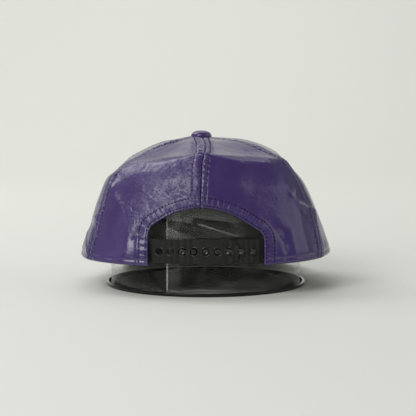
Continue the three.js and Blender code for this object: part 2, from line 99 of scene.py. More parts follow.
class Shade:
    """A socket of a material's nodes, which adds its Math nodes as expressions are written."""

    def __init__(self, tree, socket):
        self.tree = tree
        self.socket = socket

    def maths(self, operation, *values):
        return add_node(self.tree, "Math", {"operation": operation}, dict(enumerate(values)))

    def __add__(self, other):
        return self.maths("ADD", self, other)

    def __radd__(self, other):
        return self.maths("ADD", other, self)

    def __sub__(self, other):
        return self.maths("SUBTRACT", self, other)

    def __rsub__(self, other):
        return self.maths("SUBTRACT", other, self)

    def __mul__(self, other):
        return self.maths("MULTIPLY", self, other)

    def __rmul__(self, other):
        return self.maths("MULTIPLY", other, self)

    def __truediv__(self, other):
        return self.maths("DIVIDE", self, other)

    def __pow__(self, other):
        return self.maths("POWER", self, other)

    def __abs__(self):
        return self.maths("ABSOLUTE", self)

    def clamped(self):
        return add_node(self.tree, "Clamp", sockets={0: self})


class Finish:
    """A material under way: its nodes are added one by one, and its shader is set at the end."""

    def __init__(self, name):
        self.material = bpy.data.materials.new(name)
        self.material.use_nodes = True
        self.tree = self.material.node_tree
        self.shader = self.tree.nodes["Principled BSDF"]
        self.where = self.node("TexCoord", output="Object")

    def node(self, kind, settings=None, output=0, **sockets):
        named = {name.replace("_", " "): value for name, value in sockets.items()}
        return add_node(self.tree, kind, settings, named, output)

    def noise(self, scale, detail=2.0, rough=0.5, distortion=0.0):
        return self.node(
            "TexNoise", Vector=self.where, Scale=scale, Detail=detail, Roughness=rough, Distortion=distortion
        )

    def places(self):
        """Where a point is, as three numbers: across, back and above."""
        return [self.node("SeparateXYZ", output=name, Vector=self.where) for name in "XYZ"]

    def colours(self, share, first, second):
        """A mix of two colours by a share, through the Mix node's colour sockets, which go by number."""
        return add_node(self.tree, "Mix", {"data_type": "RGBA"}, {0: share, 6: first, 7: second}, 2)

    def bump(self, height, distance, strength=1.0):
        return self.node("Bump", output="Normal", Height=height, Distance=distance, Strength=strength)

    def set(self, **sockets):
        for name, value in sockets.items():
            plug(self.tree, self.shader.inputs[name.replace("_", " ")], value)
        return self.material


paper_half = 1.9
paper_front = 2.2
wall_start = 1.4
sweep_radius = 0.9
wall_height = 2.6
paper_colour = (0.81, 0.815, 0.765)
room_seen = (0.765, 0.77, 0.725)
room_light = (0.105, 0.107, 0.105)

deselect()
bpy.ops.mesh.primitive_plane_add(size=2)
paper = bpy.context.object
paper.name = "paper_sweep"
for corner in paper.data.vertices:
    corner.co.x *= paper_half
    corner.co.y = wall_start if corner.co.y > 0 else -paper_front
bpy.ops.object.mode_set(mode="EDIT")
bpy.ops.mesh.select_all(action="DESELECT")
paper_mesh = bmesh.from_edit_mesh(paper.data)
for edge in paper_mesh.edges:
    if all(vertex.co.y > 0 for vertex in edge.verts):
        edge.select_set(True)
paper_mesh.select_flush_mode()
bmesh.update_edit_mesh(paper.data)
sweep_steps = 16
chord = 2 * sweep_radius * math.sin(math.pi / 4 / sweep_steps)
for step in range(sweep_steps):
    angle = (step + 0.5) * (math.pi / 2) / sweep_steps
    move = (0, chord * math.cos(angle), chord * math.sin(angle))
    bpy.ops.mesh.extrude_region_move(TRANSFORM_OT_translate={"value": move})
bpy.ops.mesh.extrude_region_move(TRANSFORM_OT_translate={"value": (0, 0, wall_height)})
bpy.ops.object.mode_set(mode="OBJECT")
bpy.ops.object.shade_smooth()

paper_finish = Finish("backdrop_paper")
paper.data.materials.append(
    paper_finish.set(
        Base_Color=paper_finish.colours(
            paper_finish.noise(2.0, 3.0), paper_colour, tuple(0.985 * c for c in paper_colour)
        ),
        Roughness=0.9,
        Specular_IOR_Level=0.15,
    )
)


def soft_light(name, place, target, size, power):
    data = bpy.data.lights.new(name, "AREA")
    data.shape = "RECTANGLE"
    data.size, data.size_y = size
    data.energy = power
    light = bpy.data.objects.new(name, data)
    light.location = place
    light.rotation_euler = (Vector(target) - Vector(place)).to_track_quat("-Z", "Y").to_euler()
    bpy.context.collection.objects.link(light)


soft_light("overhead_light", (-0.3, 0.8, 2.05), (0, 0.1, 0), (1.8, 1.4), 6)
soft_light("patch_light", (-0.92, -1.42, 1.10), (0, 0, 0.08), (1.15, 0.95), 19)
soft_light("left_light", (-2.1, 0.3, 0.9), (0, 0, 0.05), (2.4, 1.5), 3)
soft_light("right_light", (1.9, -0.2, 0.9), (0, 0, 0.05), (2.0, 1.4), 6.5)
soft_light("side_light", (-1.45, 0.55, 1.75), (0, 0, 0.05), (1.3, 1.0), 15)
soft_light("front_light", (-0.5, -1.6, 1.9), (0, 0.2, 0), (1.6, 1.0), 3)
soft_light("wall_light", (0.2, 0.9, 2.3), (0, 2.3, 1.2), (2.6, 0.6), 23)
world = bpy.data.worlds.new("room")
world.use_nodes = True
room = world.node_tree
room_dim = room.nodes["Background"]
room_dim.inputs["Color"].default_value = (*room_light, 1.0)
room_pale = add_node(room, "Background", sockets={"Color": room_seen})
room_seen_now = add_node(room, "LightPath", output="Is Camera Ray")
room_mix = add_node(
    room, "MixShader", sockets={0: room_seen_now, 1: Shade(room, room_dim.outputs[0]), 2: room_pale}
)
plug(room, room.nodes["World Output"].inputs["Surface"], room_mix)
bpy.context.scene.world = world
bpy.context.scene.view_settings.view_transform = "Standard"


# The crown is six panels of faux leather, cut to shape and sewn edge to edge from the rim to the
# button. Its form is a table of sections round the cap, with the soft folds that it has taken.
MM = 0.001
cap_width = 208.6
cap_depth = 181.0
crown_height = 99.4
rim_squareness = 2.6
rim_lift = 24.4
lean_left = 3.6
lean_span = (0.2, 0.93)
seam_ridge = 0.9
apex_hole = 3.0
collar_radius = 12.5
collar_drop = 1.5
crown_wall = 1.6
section_length = 149.0
station_places = (0, 0.1, 0.4, 0.54, 0.64, 0.8, 0.93, 1)
station_names = ("hip", "shoulder", "crest", "brow", "dome")
section_columns = ("azimuth", "rimZ", "hipR", "hipZ", "shoulderR", "shoulderZ", "crestR", "crestZ")
section_columns += ("browR", "browZ", "domeR", "domeZ")
section_rows = (
    (-180, 0.026, 0.992, 0.13, 0.925, 0.56, 0.82, 0.78, 0.69, 0.875, 0.37, 0.955),
    (-140, 0.02, 0.985, 0.13, 0.885, 0.56, 0.765, 0.755, 0.625, 0.85, 0.34, 0.945),
    (-90, 0.016, 0.974, 0.13, 0.805, 0.605, 0.686, 0.714, 0.56, 0.805, 0.34, 0.928),
    (-40, 0.01, 0.982, 0.13, 0.86, 0.59, 0.74, 0.78, 0.605, 0.84, 0.34, 0.937),
    (0, 0, 0.992, 0.13, 0.93, 0.61, 0.8, 0.825, 0.68, 0.88, 0.37, 0.955),
    (40, 0.02, 0.984, 0.13, 0.865, 0.6, 0.74, 0.8, 0.61, 0.865, 0.35, 0.957),
    (90, 0.042, 0.976, 0.13, 0.797, 0.61, 0.686, 0.745, 0.602, 0.849, 0.36, 0.957),
    (140, 0.024, 0.985, 0.13, 0.885, 0.56, 0.77, 0.765, 0.635, 0.868, 0.355, 0.955),
)
# Each fold has its azimuth, its place up the section, its width and height as shares, its turn in
# degrees, and how far it swells or sinks as a share of the cap's width.
fold_rows = (
    (-79, 0.2, 0.07, 0.05, 12, -0.0075),
    (-55, 0.33, 0.05, 0.16, 0, 0.008),
    (60, 0.37, 0.085, 0.15, -15, -0.014),
    (64, 0.27, 0.085, 0.04, -20, 0.006),
    (49, 0.14, 0.035, 0.3, 0, 0.007),
    (-39, 0.09, 0.04, 0.22, -6, 0.0085),
    (41, 0.09, 0.04, 0.2, 8, 0.006),
    (-27, 0.36, 0.13, 0.2, 0, -0.006),
    (27, 0.38, 0.15, 0.22, 0, -0.008),
    (-148, 0.5, 0.14, 0.12, 20, -0.009),
    (150, 0.47, 0.14, 0.12, -25, -0.008),
    (-103, 0.42, 0.11, 0.1, -15, -0.0075),
    (106, 0.4, 0.11, 0.1, 15, -0.0075),
)


def smooth(low, high, value):
    share = np.clip((value - low) / (high - low), 0, 1)
    return share * share * (3 - 2 * share)


def bell(offset, width):
    return np.exp(-((offset / width) ** 2))


def turned_from(place, azimuth):
    """Degrees round the cap from a place, the short way."""
    return np.mod(azimuth - place + 180, 360) - 180


def through(places, values, place):
    """A smooth curve through values at places, as in the model."""
    places = np.asarray(places, float)
    values = np.asarray(values, float)
    if values.ndim == 1:
        values = np.repeat(values[:, None], place.size, axis=1)
    last = len(places) - 1
    k = np.searchsorted(places[1:last], place, side="left")
    column = np.arange(place.size)

    def slope(i):
        before = np.maximum(i - 1, 0)
        after = np.minimum(i + 1, last)
        return (values[after, column] - values[before, column]) / (places[after] - places[before])

    run = places[k + 1] - places[k]
    s = (place - places[k]) / run
    cross = 3 * s**2 - 2 * s**3
    straight = values[k, column] * (1 - cross) + values[k + 1, column] * cross
    return straight + run * (slope(k) * (s**3 - 2 * s**2 + s) + slope(k + 1) * (s**3 - s**2))


def section_share(name, azimuth):
    column = section_columns.index(name)
    count = len(section_rows)
    places = []
    values = []
    for i in range(-2, count + 3):
        places.append(section_rows[i % count][0] + 360 * (i // count))
        values.append(section_rows[i % count][column])
    return through(places, values, turned_from(0, azimuth))


def rim_radius(azimuth):
    across = np.abs(np.sin(np.radians(azimuth))) / (cap_width / 2)
    along = np.abs(np.cos(np.radians(azimuth))) / (cap_depth / 2)
    return (across**rim_squareness + along**rim_squareness) ** (-1 / rim_squareness)


def rim_height(azimuth):
    return rim_lift + crown_height * section_share("rimZ", azimuth)


def plain_crown(azimuth, up):
    rim = rim_radius(azimuth)
    radii = [rim]
    heights = [rim_height(azimuth)]
    for station in station_names:
        radii.append(rim * section_share(station + "R", azimuth))
        heights.append(rim_lift + crown_height * section_share(station + "Z", azimuth))
    radii += [np.full_like(rim, collar_radius), np.full_like(rim, apex_hole)]
    top = rim_lift + crown_height
    heights += [np.full_like(rim, top - collar_drop), np.full_like(rim, top)]
    radius = through(station_places, radii, up)
    height = through(station_places, heights, up)
    lean = -lean_left * smooth(*lean_span, up)
    angle = np.radians(azimuth)
    return np.stack([lean + radius * np.sin(angle), -radius * np.cos(angle), height], 1)


def fold_out(azimuth, up):
    out = np.zeros_like(up)
    for fold_azimuth, fold_up, wide, tall, turn, amount in fold_rows:
        across = np.radians(turned_from(fold_azimuth, azimuth)) * cap_width / 2
        above = (up - fold_up) * crown_height * 1.5
        cos, sin = math.cos(math.radians(turn)), math.sin(math.radians(turn))
        sideways = (across * cos + above * sin) / (wide * cap_width)
        upwards = (above * cos - across * sin) / (tall * crown_height)
        out += amount * cap_width * np.exp(-(sideways**2) - upwards**2)
    ridge = seam_ridge * np.cos(6 * np.radians(azimuth))
    return out + ridge * smooth(0.1, 0.5, up) * (1 - smooth(0.72, 0.86, up))


def crown_normal(azimuth, up):
    low, high = np.maximum(up - 0.01, 0), np.minimum(up + 0.01, 1)
    across = plain_crown(azimuth + 1, up) - plain_crown(azimuth - 1, up)
    upwards = plain_crown(azimuth, high) - plain_crown(azimuth, low)
    normal = np.cross(across, upwards)
    return normal / np.linalg.norm(normal, axis=1, keepdims=True)


# Where each seam runs: its azimuth at places up the section. The middle one at the back wanders.
seam_ups = (0, 0.15, 0.27, 0.35, 0.44, 0.52, 0.58, 0.66, 0.8, 1.0)
seam_runs = {
    -60: (-61, -60.5, -59.5, -59, -59.5, -59.5, -60, -60, -60, -60),
    0: (-3, -3, -2.6, -2.2, -1.6, -0.8, 0.6, 2.3, 4.5, 4.5),
    60: (59.5, 62, 63.5, 65, 63, 61, 60, 60, 60, 60),
    120: (120, 120.5, 121, 120.5, 120, 120, 120, 120, 120, 120),
    180: (180,) * 10,
    240: (240, 239.5, 239, 239, 239.5, 240, 240, 240, 240, 240),
}
# The stitch rows lie at these distances from each seam, on its two sides.
seam_rows = dict.fromkeys(seam_runs, (-4.6, 4.6))
seam_rows[0] = (-7.0, 4.4)
seam_rows[180] = (-5, 5)


def seam_azimuth(seam, up):
    return through(seam_ups, seam_runs[seam], np.asarray(up, float))


# The opening over the strap, in millimetres across and above the rim: two sides, two slopes and a
# round top, with the leather turned in all along it and held by two rows of stitches.
arch_width = 91.0
arch_across = 0.6
arch_height = 46.0
arch_side_left = 30.6
arch_side_right = 25.6
arch_lean = 3.4
arch_corner = 9.0
arch_round = 58.0
arch_rows = (1.9, 7.8)
arch_margin = 10.2


def rounded_corner(before, here, after, radius, steps):
    back = (before - here) / np.linalg.norm(before - here)
    on = (after - here) / np.linalg.norm(after - here)
    half = math.acos(float(back @ on)) / 2
    middle = (back + on) / np.linalg.norm(back + on) * radius / math.sin(half) + here
    start = here + back * radius / math.tan(half) - middle
    end = here + on * radius / math.tan(half) - middle
    first, last = math.atan2(start[1], start[0]), math.atan2(end[1], end[0])
    if last > first:
        last -= 2 * math.pi
    angles = np.linspace(first, last, steps)
    return middle + radius * np.stack([np.cos(angles), np.sin(angles)], 1)


def arch_outline():
    half = arch_width / 2
    left, right = np.array([-half, arch_side_left]), np.array([half, arch_side_right])
    foot_left, foot_right = np.array([-half, -6.0]), np.array([half, -6.0])
    apex = np.array([-arch_lean, arch_height])
    for _ in range(12):
        apex[1] += arch_height - rounded_corner(left, apex, right, arch_round, 41)[:, 1].max()
    corners = [
        foot_left[None],
        rounded_corner(foot_left, left, apex, arch_corner, 9),
        rounded_corner(left, apex, right, arch_round, 41),
        rounded_corner(apex, right, foot_right, arch_corner, 9),
        foot_right[None],
    ]
    return np.concatenate(corners) + np.array([arch_across, 0])


arch_line = arch_outline()


def from_arch(across, above):
    """How far points are outside the opening's edge, and how far along the edge they are."""
    starts, ends = arch_line[:-1], arch_line[1:]
    run = ends - starts
    length = np.linalg.norm(run, axis=1)
    offset = np.stack([across, above], 1)[:, None] - starts[None]
    share = np.clip((offset * run).sum(2) / length**2, 0, 1)
    apart = offset - share[..., None] * run
    distance = np.linalg.norm(apart, axis=2)
    nearest = distance.argmin(1)
    row = np.arange(len(across))
    side = run[nearest, 0] * offset[row, nearest, 1] - run[nearest, 1] * offset[row, nearest, 0]
    along = np.concatenate([[0], np.cumsum(length)])[nearest] + share[row, nearest] * length[nearest]
    return distance[row, nearest] * np.where(side > 0, 1, -1), along


# Where the leather is more crumpled than elsewhere: azimuth, place up the section, half sizes in
# degrees and in shares, and how much.
crumple_rows = (
    (-21, 0.37, 15, 0.13, 1.0),
    (-38, 0.28, 8, 0.09, 0.35),
    (-66, 0.25, 9, 0.2, 0.4),
    (-72, 0.1, 12, 0.1, 0.35),
    (60, 0.32, 12, 0.14, 0.5),
    (-8, 0.42, 7, 0.16, 0.8),
    (30, 0.2, 10, 0.12, 0.35),
    (-50, 0.6, 18, 0.1, 0.5),
    (45, 0.62, 20, 0.1, 0.35),
    (-150, 0.35, 24, 0.25, 0.45),
    (150, 0.4, 24, 0.25, 0.45),
    (100, 0.3, 20, 0.25, 0.45),
    (-110, 0.35, 20, 0.25, 0.45),
)
# The brow: the line round the back where the crown folds over to its flat top.
brow_azimuths = (-90, -61, -54, -42, -25, -15, -6, 2, 12, 24, 36, 47, 60, 72, 90)
brow_ups = (0.43, 0.468, 0.508, 0.572, 0.62, 0.605, 0.59, 0.583)
brow_ups += (0.592, 0.616, 0.614, 0.585, 0.56, 0.545, 0.53)
brow_height = 1.3
brow_softness = 6.0


# What the sewing does to the leather, in millimetres. Along a seam there is a groove, less deep on the
# flat top. Beside it the leather swells, sinks at the rows of stitches and puckers: the middle seam and
# the other seams have a number for each.
groove_depth = 0.75
groove_eased = 0.35
flat_top = (0.56, 0.7)
middle_seam = (0.75, 0.26, 0.34)
other_seam = (0.5, 0.38, 0.2)
shoulder = 0.35
row_half = 0.7
gather_height = 0.2
# Round the opening and the rim the leather is turned in, and the rows that hold the turning sink too.
edge_roll = 1.3
arch_turned = 1.1
arch_row_sink = 0.28
arch_doubled = 0.3
arch_pucker = 0.24
rim_row = 4.0
rim_row_sink = 0.35
# The soft hollow left of the opening: its azimuth, half width in degrees and depth.
hollow_azimuth = -46
hollow_width = 8.5
hollow_depth = 2.1


def rolled(distance, radius):
    """How far an edge turned in with this radius falls back."""
    inside = np.clip(radius - distance, 0, radius)
    return radius - np.sqrt(np.maximum(radius**2 - inside**2, 0))


# The noise has a fixed seed, so that the leather is crumpled in the same way each time.
noise.seed_set(3)


def waves(points, size, seed, turns=3):
    """Soft undulations from -1 to 1, of about this size in millimetres."""
    shift = Vector((seed * 17.3, seed * 5.1, seed * 9.7))
    return np.array([noise.fractal(Vector(point) / size + shift, 0.9, 2.1, turns) for point in points])


def ridged(points, size, seed, sharp=2.0):
    """Ridges like those of crumpled leather, from 0 to 1, of about this size in millimetres."""
    shift = Vector((seed * 17.3, seed * 5.1, seed * 9.7))
    values = np.empty(len(points))
    for i, point in enumerate(points):
        place = Vector(point) / size + shift
        near = noise.voronoi(place + noise.noise_vector(place * 0.7) * 0.5)[0]
        values[i] = near[1] - near[0]
    return 1 - np.clip(values * 2.2, 0, 1) ** (1 / sharp)


def crumpled(azimuth, up):
    mask = np.full_like(up, 0.16)
    for place, height, wide, tall, amount in crumple_rows:
        turned = turned_from(place, azimuth)
        mask += amount * np.exp(-((turned / wide) ** 2) - ((up - height) / tall) ** 2)
    return np.clip(mask, 0, 1.15)


# Creases that the leather has taken in use: from an azimuth and a place up the section to another,
# how wide they are, and how far they stand out or sink, in millimetres.
crease_rows = (
    (51, 0.328, 57, 0.298, 2.4, 1.1),
    (57, 0.298, 66, 0.268, 2.4, 1.0),
    (48, 0.42, 48, 0.364, 3.0, 0.8),
    (48, 0.364, 51, 0.328, 2.6, 1.0),
    (56, 0.36, 62, 0.33, 5.0, -1.3),
    (-55, 0.40, -48, 0.33, 5.5, 1.3),
    (-62, 0.40, -57, 0.31, 4.0, -0.9),
    (-45, 0.30, -43, 0.23, 4.0, 0.6),
    (-70, 0.235, -61, 0.245, 2.0, 0.8),
    (-72, 0.20, -60, 0.19, 2.6, -0.7),
    (-75, 0.15, -62, 0.04, 2.4, 0.7),
    (-58, 0.12, -57, 0.02, 2.6, 0.5),
    (-24, 0.232, -32.5, 0.205, 3.2, -0.9),
    (-32.5, 0.205, -35.5, 0.15, 3.6, -0.85),
    (-35.5, 0.15, -34, 0.0, 3.8, -0.5),
    (33, 0.235, 38, 0.17, 3.0, -1.1),
    (38, 0.17, 39.5, 0.1, 3.0, -1.3),
    (39.5, 0.1, 39, 0.0, 3.0, -1.0),
    (43, 0.2, 44, 0.02, 4.0, 0.7),
    (-49, 0.72, -47, 0.8, 3.5, -0.7),
    (-47, 0.8, -53, 0.93, 3.0, -0.6),
    (-54, 0.7, -55, 0.86, 3.0, 1.0),
    (10, 0.5, 11, 0.44, 5.0, 0.45),
    (-14, 0.2, -22, 0.17, 3.0, 0.5),
    (20, 0.14, 26, 0.1, 3.5, 0.5),
)


def crease_out(azimuth, up):
    """How far the creases move the leather."""
    radius = rim_radius(azimuth) * (1 - 0.55 * up)
    out = np.zeros_like(up)
    for start, start_up, end, end_up, width, amount in crease_rows:
        across = np.radians(turned_from(start, azimuth)) * radius
        above = (up - start_up) * section_length
        run_across = np.radians(end - start) * radius
        run_above = (end_up - start_up) * section_length
        share = np.clip((across * run_across + above * run_above) / (run_across**2 + run_above**2), 0, 1)
        distance = np.hypot(across - share * run_across, above - share * run_above)
        out += amount * np.exp(-np.sqrt((distance / width) ** 2 * 2 + 0.15) + 0.387)
    return out


def radius_at(point, up):
    """How far points of the crown are from the middle line that it leans along."""
    return np.hypot(point[:, 0] + lean_left * smooth(*lean_span, up), point[:, 1])


def relief(azimuth, up):
    """What seams, stitches, turned edges and creases add to the leather, in millimetres."""
    point = plain_crown(azimuth, up)
    radius = radius_at(point, up)
    along = up * section_length
    out = np.zeros_like(up)
    fade = smooth(1.0, 0.9, up)
    flat = smooth(*flat_top, up)
    for seam, rows in seam_rows.items():
        aside = np.radians(turned_from(seam_azimuth(seam, up), azimuth)) * radius
        near = np.abs(aside)
        swell, sink, pucker = middle_seam if seam == 0 else other_seam
        out -= (groove_depth - groove_eased * flat) * rolled(near, groove_depth) * fade
        row = np.where(aside < 0, -rows[0], rows[1])
        puff = np.sin(math.pi * np.clip(near / row, 0, 1)) ** 0.7
        out += swell * puff * fade * (1 - 0.5 * flat)
        out += shoulder * smooth(row * 2.6, row, near) * fade
        out -= sink * bell(near - row, row_half) * fade
        beat = np.sin(2 * math.pi * along / 4.1 + 1.7 * np.sin(along / 9.0 + seam) + 0.35 * aside)
        pucker = pucker * (1 + 0.6 * np.sin(along / 13.0 + 2 * seam))
        out += pucker * beat * bell(near - row * 0.55, row * 0.55) * fade
        out += 0.4 * pucker * beat * bell(near - row * 1.35, row * 0.5) * fade
        if seam == 0:
            gathers = np.sin(2 * math.pi * along / 3.3 + 2.4 * np.sin(along / 5.1) + 0.5 * aside)
            out += gather_height * gathers * smooth(-7.2, -5.5, aside) * smooth(-0.4, -2.0, aside) * fade
    back = (np.abs(azimuth) < 75) & (up < 0.75)
    if back.any():
        above_rim = point[back, 2] - rim_lift
        distance, run = from_arch(point[back, 0], above_rim)
        edge = -arch_turned * rolled(distance, edge_roll)
        for row in arch_rows:
            edge -= arch_row_sink * bell(distance - row, row_half)
        edge += arch_doubled * smooth(arch_margin + 0.6, arch_margin - 2.5, distance)
        beat = np.sin(2 * math.pi * run / 4.6 + 1.5 * np.sin(run / 8.0))
        edge += arch_pucker * beat * bell(distance - 4.5, 4.2) * (0.35 + 0.65 * smooth(14, 30, above_rim))
        out[back] += edge
    height = point[:, 2] - rim_height(azimuth)
    out -= rolled(np.maximum(height, 0), edge_roll)
    out -= rim_row_sink * bell(height - rim_row, 0.9)
    brow = np.interp(azimuth, brow_azimuths, brow_ups, left=0.5, right=0.5)
    over = (up - brow) * section_length
    backward = smooth(96, 62, np.abs(azimuth))
    fold = np.exp(-np.sqrt(over**2 + 0.8) / brow_softness) * brow_height
    out += backward * (fold - 0.4 * bell(over - 12, 8.0) - 0.3 * bell(over + 10, 9.0))
    mask = crumpled(azimuth, up)
    fine = waves(point, 4.5, 1, 4)
    out += mask * (0.2 * fine + 0.3 * ridged(point, 9.0, 2, 2.6) * (0.5 + fine))
    out += 0.5 * waves(point, 24.0, 3, 2)
    hollow = bell(azimuth - hollow_azimuth, hollow_width)
    out -= hollow_depth * hollow * smooth(0.01, 0.1, up) * smooth(0.52, 0.36, up)
    out += crease_out(azimuth, up)
    return out * smooth(1.0, 0.95, up), mask


def leather_at(azimuth, up, lift=0.0):
    """Points of the leather's outside, its normals there, and how crumpled it is."""
    azimuth = np.asarray(azimuth, float)
    up = np.asarray(up, float)
    normal = crown_normal(azimuth, up)
    out, mask = relief(azimuth, up)
    return plain_crown(azimuth, up) + normal * (fold_out(azimuth, up) + out + lift)[:, None], normal, mask


leather_colour = (0.066, 0.038, 0.168)
leather_deep = (0.036, 0.019, 0.104)
leather_pale = (0.090, 0.062, 0.190)


def leather_finish():
    finish = Finish("faux_leather")
    crumple = finish.node("Attribute", {"attribute_name": "crumple"}, output="Fac")
    pebbles = finish.node("TexVoronoi", {"feature": "SMOOTH_F1"}, Vector=finish.where, Scale=900.0)
    wide = finish.noise(120.0, 2.0)
    crackle = finish.node("TexVoronoi", {"feature": "DISTANCE_TO_EDGE"}, Vector=finish.where, Scale=330.0)
    small = finish.noise(520.0, 4.0, rough=0.62, distortion=0.4)
    cloudy = finish.noise(30.0, 4.0, rough=0.6)
    streaky = finish.noise(75.0, 3.0, rough=0.6, distortion=0.5)
    crack = (1 - (crackle * 6).clamped()) * crumple
    height = small * (crumple * 0.55 + 0.12) + pebbles * 0.07 - crack * 0.14 + wide * crumple * 0.5
    worn = ((small - 0.52) * 5).clamped() * crumple
    colour = finish.colours(cloudy * 0.7 + streaky * 0.3, leather_deep, leather_colour)
    colour = finish.colours(worn * 0.45, colour, leather_pale)
    rough = 0.21 + (cloudy - 0.5) * 0.14 + (streaky - 0.5) * 0.16 + crumple * 0.07
    return finish.set(
        Base_Color=colour,
        Roughness=rough.clamped(),
        Specular_IOR_Level=0.62,
        Coat_Weight=0.22,
        Coat_Roughness=0.12,
        Normal=finish.bump(height, 0.0007),
    )


def lining_finish():
    finish = Finish("dark_lining")
    pile = finish.noise(700.0, 2.0)
    return finish.set(
        Base_Color=finish.colours(finish.noise(40.0, 3.0), (0.007, 0.007, 0.0065), (0.014, 0.014, 0.013)),
        Roughness=0.7,
        Normal=finish.bump(pile, 0.0001, 0.3),
    )


leather = leather_finish()
lining = lining_finish()


def smooth_piece(name, points, faces, materials, mask=None):
    """A smooth piece through points in millimetres, with a mask of how crumpled it is."""
    mesh = bpy.data.meshes.new(name)
    mesh.from_pydata((points * MM).tolist(), [], faces)
    if mask is not None:
        crumple = mesh.attributes.new("crumple", "FLOAT", "POINT")
        crumple.data.foreach_set("value", mask.astype(np.float32))
    for material in materials:
        mesh.materials.append(material)
    mesh.shade_smooth()
    piece = bpy.data.objects.new(name, mesh)
    bpy.context.collection.objects.link(piece)
    return piece


def sheet_piece(name, points, mask, columns, rows, materials):
    """A sheet through a grid of points, column by column."""
    index = np.arange(columns * rows).reshape(columns, rows)
    corners = (index[:-1, :-1], index[1:, :-1], index[1:, 1:], index[:-1, 1:])
    faces = np.stack([corner.ravel() for corner in corners], 1)
    return smooth_piece(name, points, faces.tolist(), materials, mask)


def pick(piece):
    """Selects one piece alone, for the operators that follow."""
    deselect()
    bpy.context.view_layer.objects.active = piece
    piece.select_set(True)


def edit_whole(piece):
    """Opens one piece for editing, with all of it selected."""
    pick(piece)
    bpy.ops.object.mode_set(mode="EDIT")
    bpy.ops.mesh.select_all(action="SELECT")


def give_wall(piece, thickness, inside_slot=1):
    pick(piece)
    wall = piece.modifiers.new("wall", "SOLIDIFY")
    wall.thickness = thickness * MM
    wall.offset = -1
    wall.material_offset = inside_slot
    bpy.ops.object.modifier_apply(modifier="wall")


def up_and_azimuth(across, above, guess):
    """Where on the crown points seen from behind lie, at distances across and above the rim."""
    azimuth = np.full_like(across, guess)
    up = above / section_length

    def seen(a, u):
        point = plain_crown(a, u) + crown_normal(a, u) * fold_out(a, u)[:, None]
        return point[:, 0], point[:, 2] - rim_lift

    for _ in range(14):
        x, z = seen(azimuth, up)
        x_turned, z_turned = seen(azimuth + 0.1, up)
        x_raised, z_raised = seen(azimuth, up + 0.001)
        a, b = (x_turned - x) / 0.1, (x_raised - x) / 0.001
        c, d = (z_turned - z) / 0.1, (z_raised - z) / 0.001
        dx, dz = across - x, above - z
        scale = a * d - b * c
        azimuth = azimuth + np.clip((dx * d - dz * b) / scale, -8, 8)
        up = np.clip(up + np.clip((dz * a - dx * c) / scale, -0.08, 0.08), 0, 0.95)
    return azimuth, up


def evenly(line, count):
    """Points spaced evenly along a line of points."""
    gaps = np.concatenate([[0], np.cumsum(np.linalg.norm(np.diff(line, axis=0), axis=1))])
    places = np.linspace(0, gaps[-1], count)
    return np.stack([np.interp(places, gaps, line[:, k]) for k in range(line.shape[1])], 1)


def leather_panel(name, node, points, mask, columns, rows):
    piece = sheet_piece(name, points, mask, columns, rows, (leather, lining))
    give_wall(piece, crown_wall)
    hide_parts(node)
    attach(piece, "root")


def back_panel(name, node, side):
    """A back panel: a patch between the opening's edge, the rim, its two seams and the button."""
    columns, rows = ((150, 220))

    def flat(azimuth, up):
        return np.stack([(1 - up) * np.sin(np.radians(azimuth)), (1 - up) * np.cos(np.radians(azimuth))], 1)

    halves = arch_line[arch_line[:, 1] > 0.01]
    seam_up = 0.33
    for _ in range(8):
        azimuth = seam_azimuth(0, np.array([seam_up]))
        point = plain_crown(azimuth, np.array([seam_up]))
        middle_top = point[0, 0]
        top = np.interp(middle_top, halves[:, 0], halves[:, 1])
        seam_up += (top - (point[0, 2] - rim_lift)) / section_length
    if side < 0:
        edge = arch_line[arch_line[:, 0] < middle_top]
    else:
        edge = arch_line[arch_line[:, 0] > middle_top][::-1]
    foot = np.array([edge[0, 0], 0.0])
    edge = np.concatenate([foot[None], edge[1:], np.array([[middle_top, top]])])
    edge = evenly(edge, rows)
    arch_azimuth, arch_up = up_and_azimuth(edge[:, 0], edge[:, 1], 25.0 * side)
    arch_up[0] = 0.0
    arch_side = flat(arch_azimuth, arch_up)
    seam_share = np.linspace(0, 1, rows) ** 0.92
    outer = flat(seam_azimuth(60 * side, seam_share), seam_share)
    across = np.linspace(0, 1, columns)
    outer_azimuth = seam_azimuth(60 * side, np.zeros(1))[0]
    rim = flat(arch_azimuth[0] + (outer_azimuth - arch_azimuth[0]) * across, np.zeros(columns))
    middle_up = arch_up[-1] + (1 - arch_up[-1]) * across
    middle = flat(seam_azimuth(0, middle_up), middle_up)
    u = across[:, None, None]
    v = np.linspace(0, 1, rows)[None, :, None]
    a, b, c, d = arch_side[0], arch_side[-1], outer[-1], outer[0]
    patch = (1 - u) * arch_side[None] + u * outer[None] + (1 - v) * rim[:, None] + v * middle[:, None]
    patch = patch - (1 - u) * (1 - v) * a - u * (1 - v) * d - (1 - u) * v * b - u * v * c
    patch = patch.reshape(-1, 2)
    up = np.clip(1 - np.hypot(patch[:, 0], patch[:, 1]), 0, 1)
    azimuth = np.degrees(np.arctan2(patch[:, 0], patch[:, 1]))
    azimuth[up > 0.9999] = 30.0 * side
    points, _, mask = leather_at(azimuth, up)
    if side < 0:
        order = np.arange(columns * rows).reshape(columns, rows)[::-1].ravel()
        points, mask = points[order], mask[order]
    leather_panel(name, node, points, mask, columns, rows)


def side_panel(name, node, first, second):
    """A panel from the rim to the button between two seams."""
    columns, rows = ((100, 140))
    across, up = np.meshgrid(np.linspace(0, 1, columns), np.linspace(0, 1, rows), indexing="ij")
    across, up = across.ravel(), up.ravel()
    start, end = seam_azimuth(first, up), seam_azimuth(second, up)
    azimuth = start + (np.mod(end - start, 360)) * across
    azimuth = np.where(azimuth > 180, azimuth - 360, azimuth)
    points, _, mask = leather_at(azimuth, up)
    leather_panel(name, node, points, mask, columns, rows)


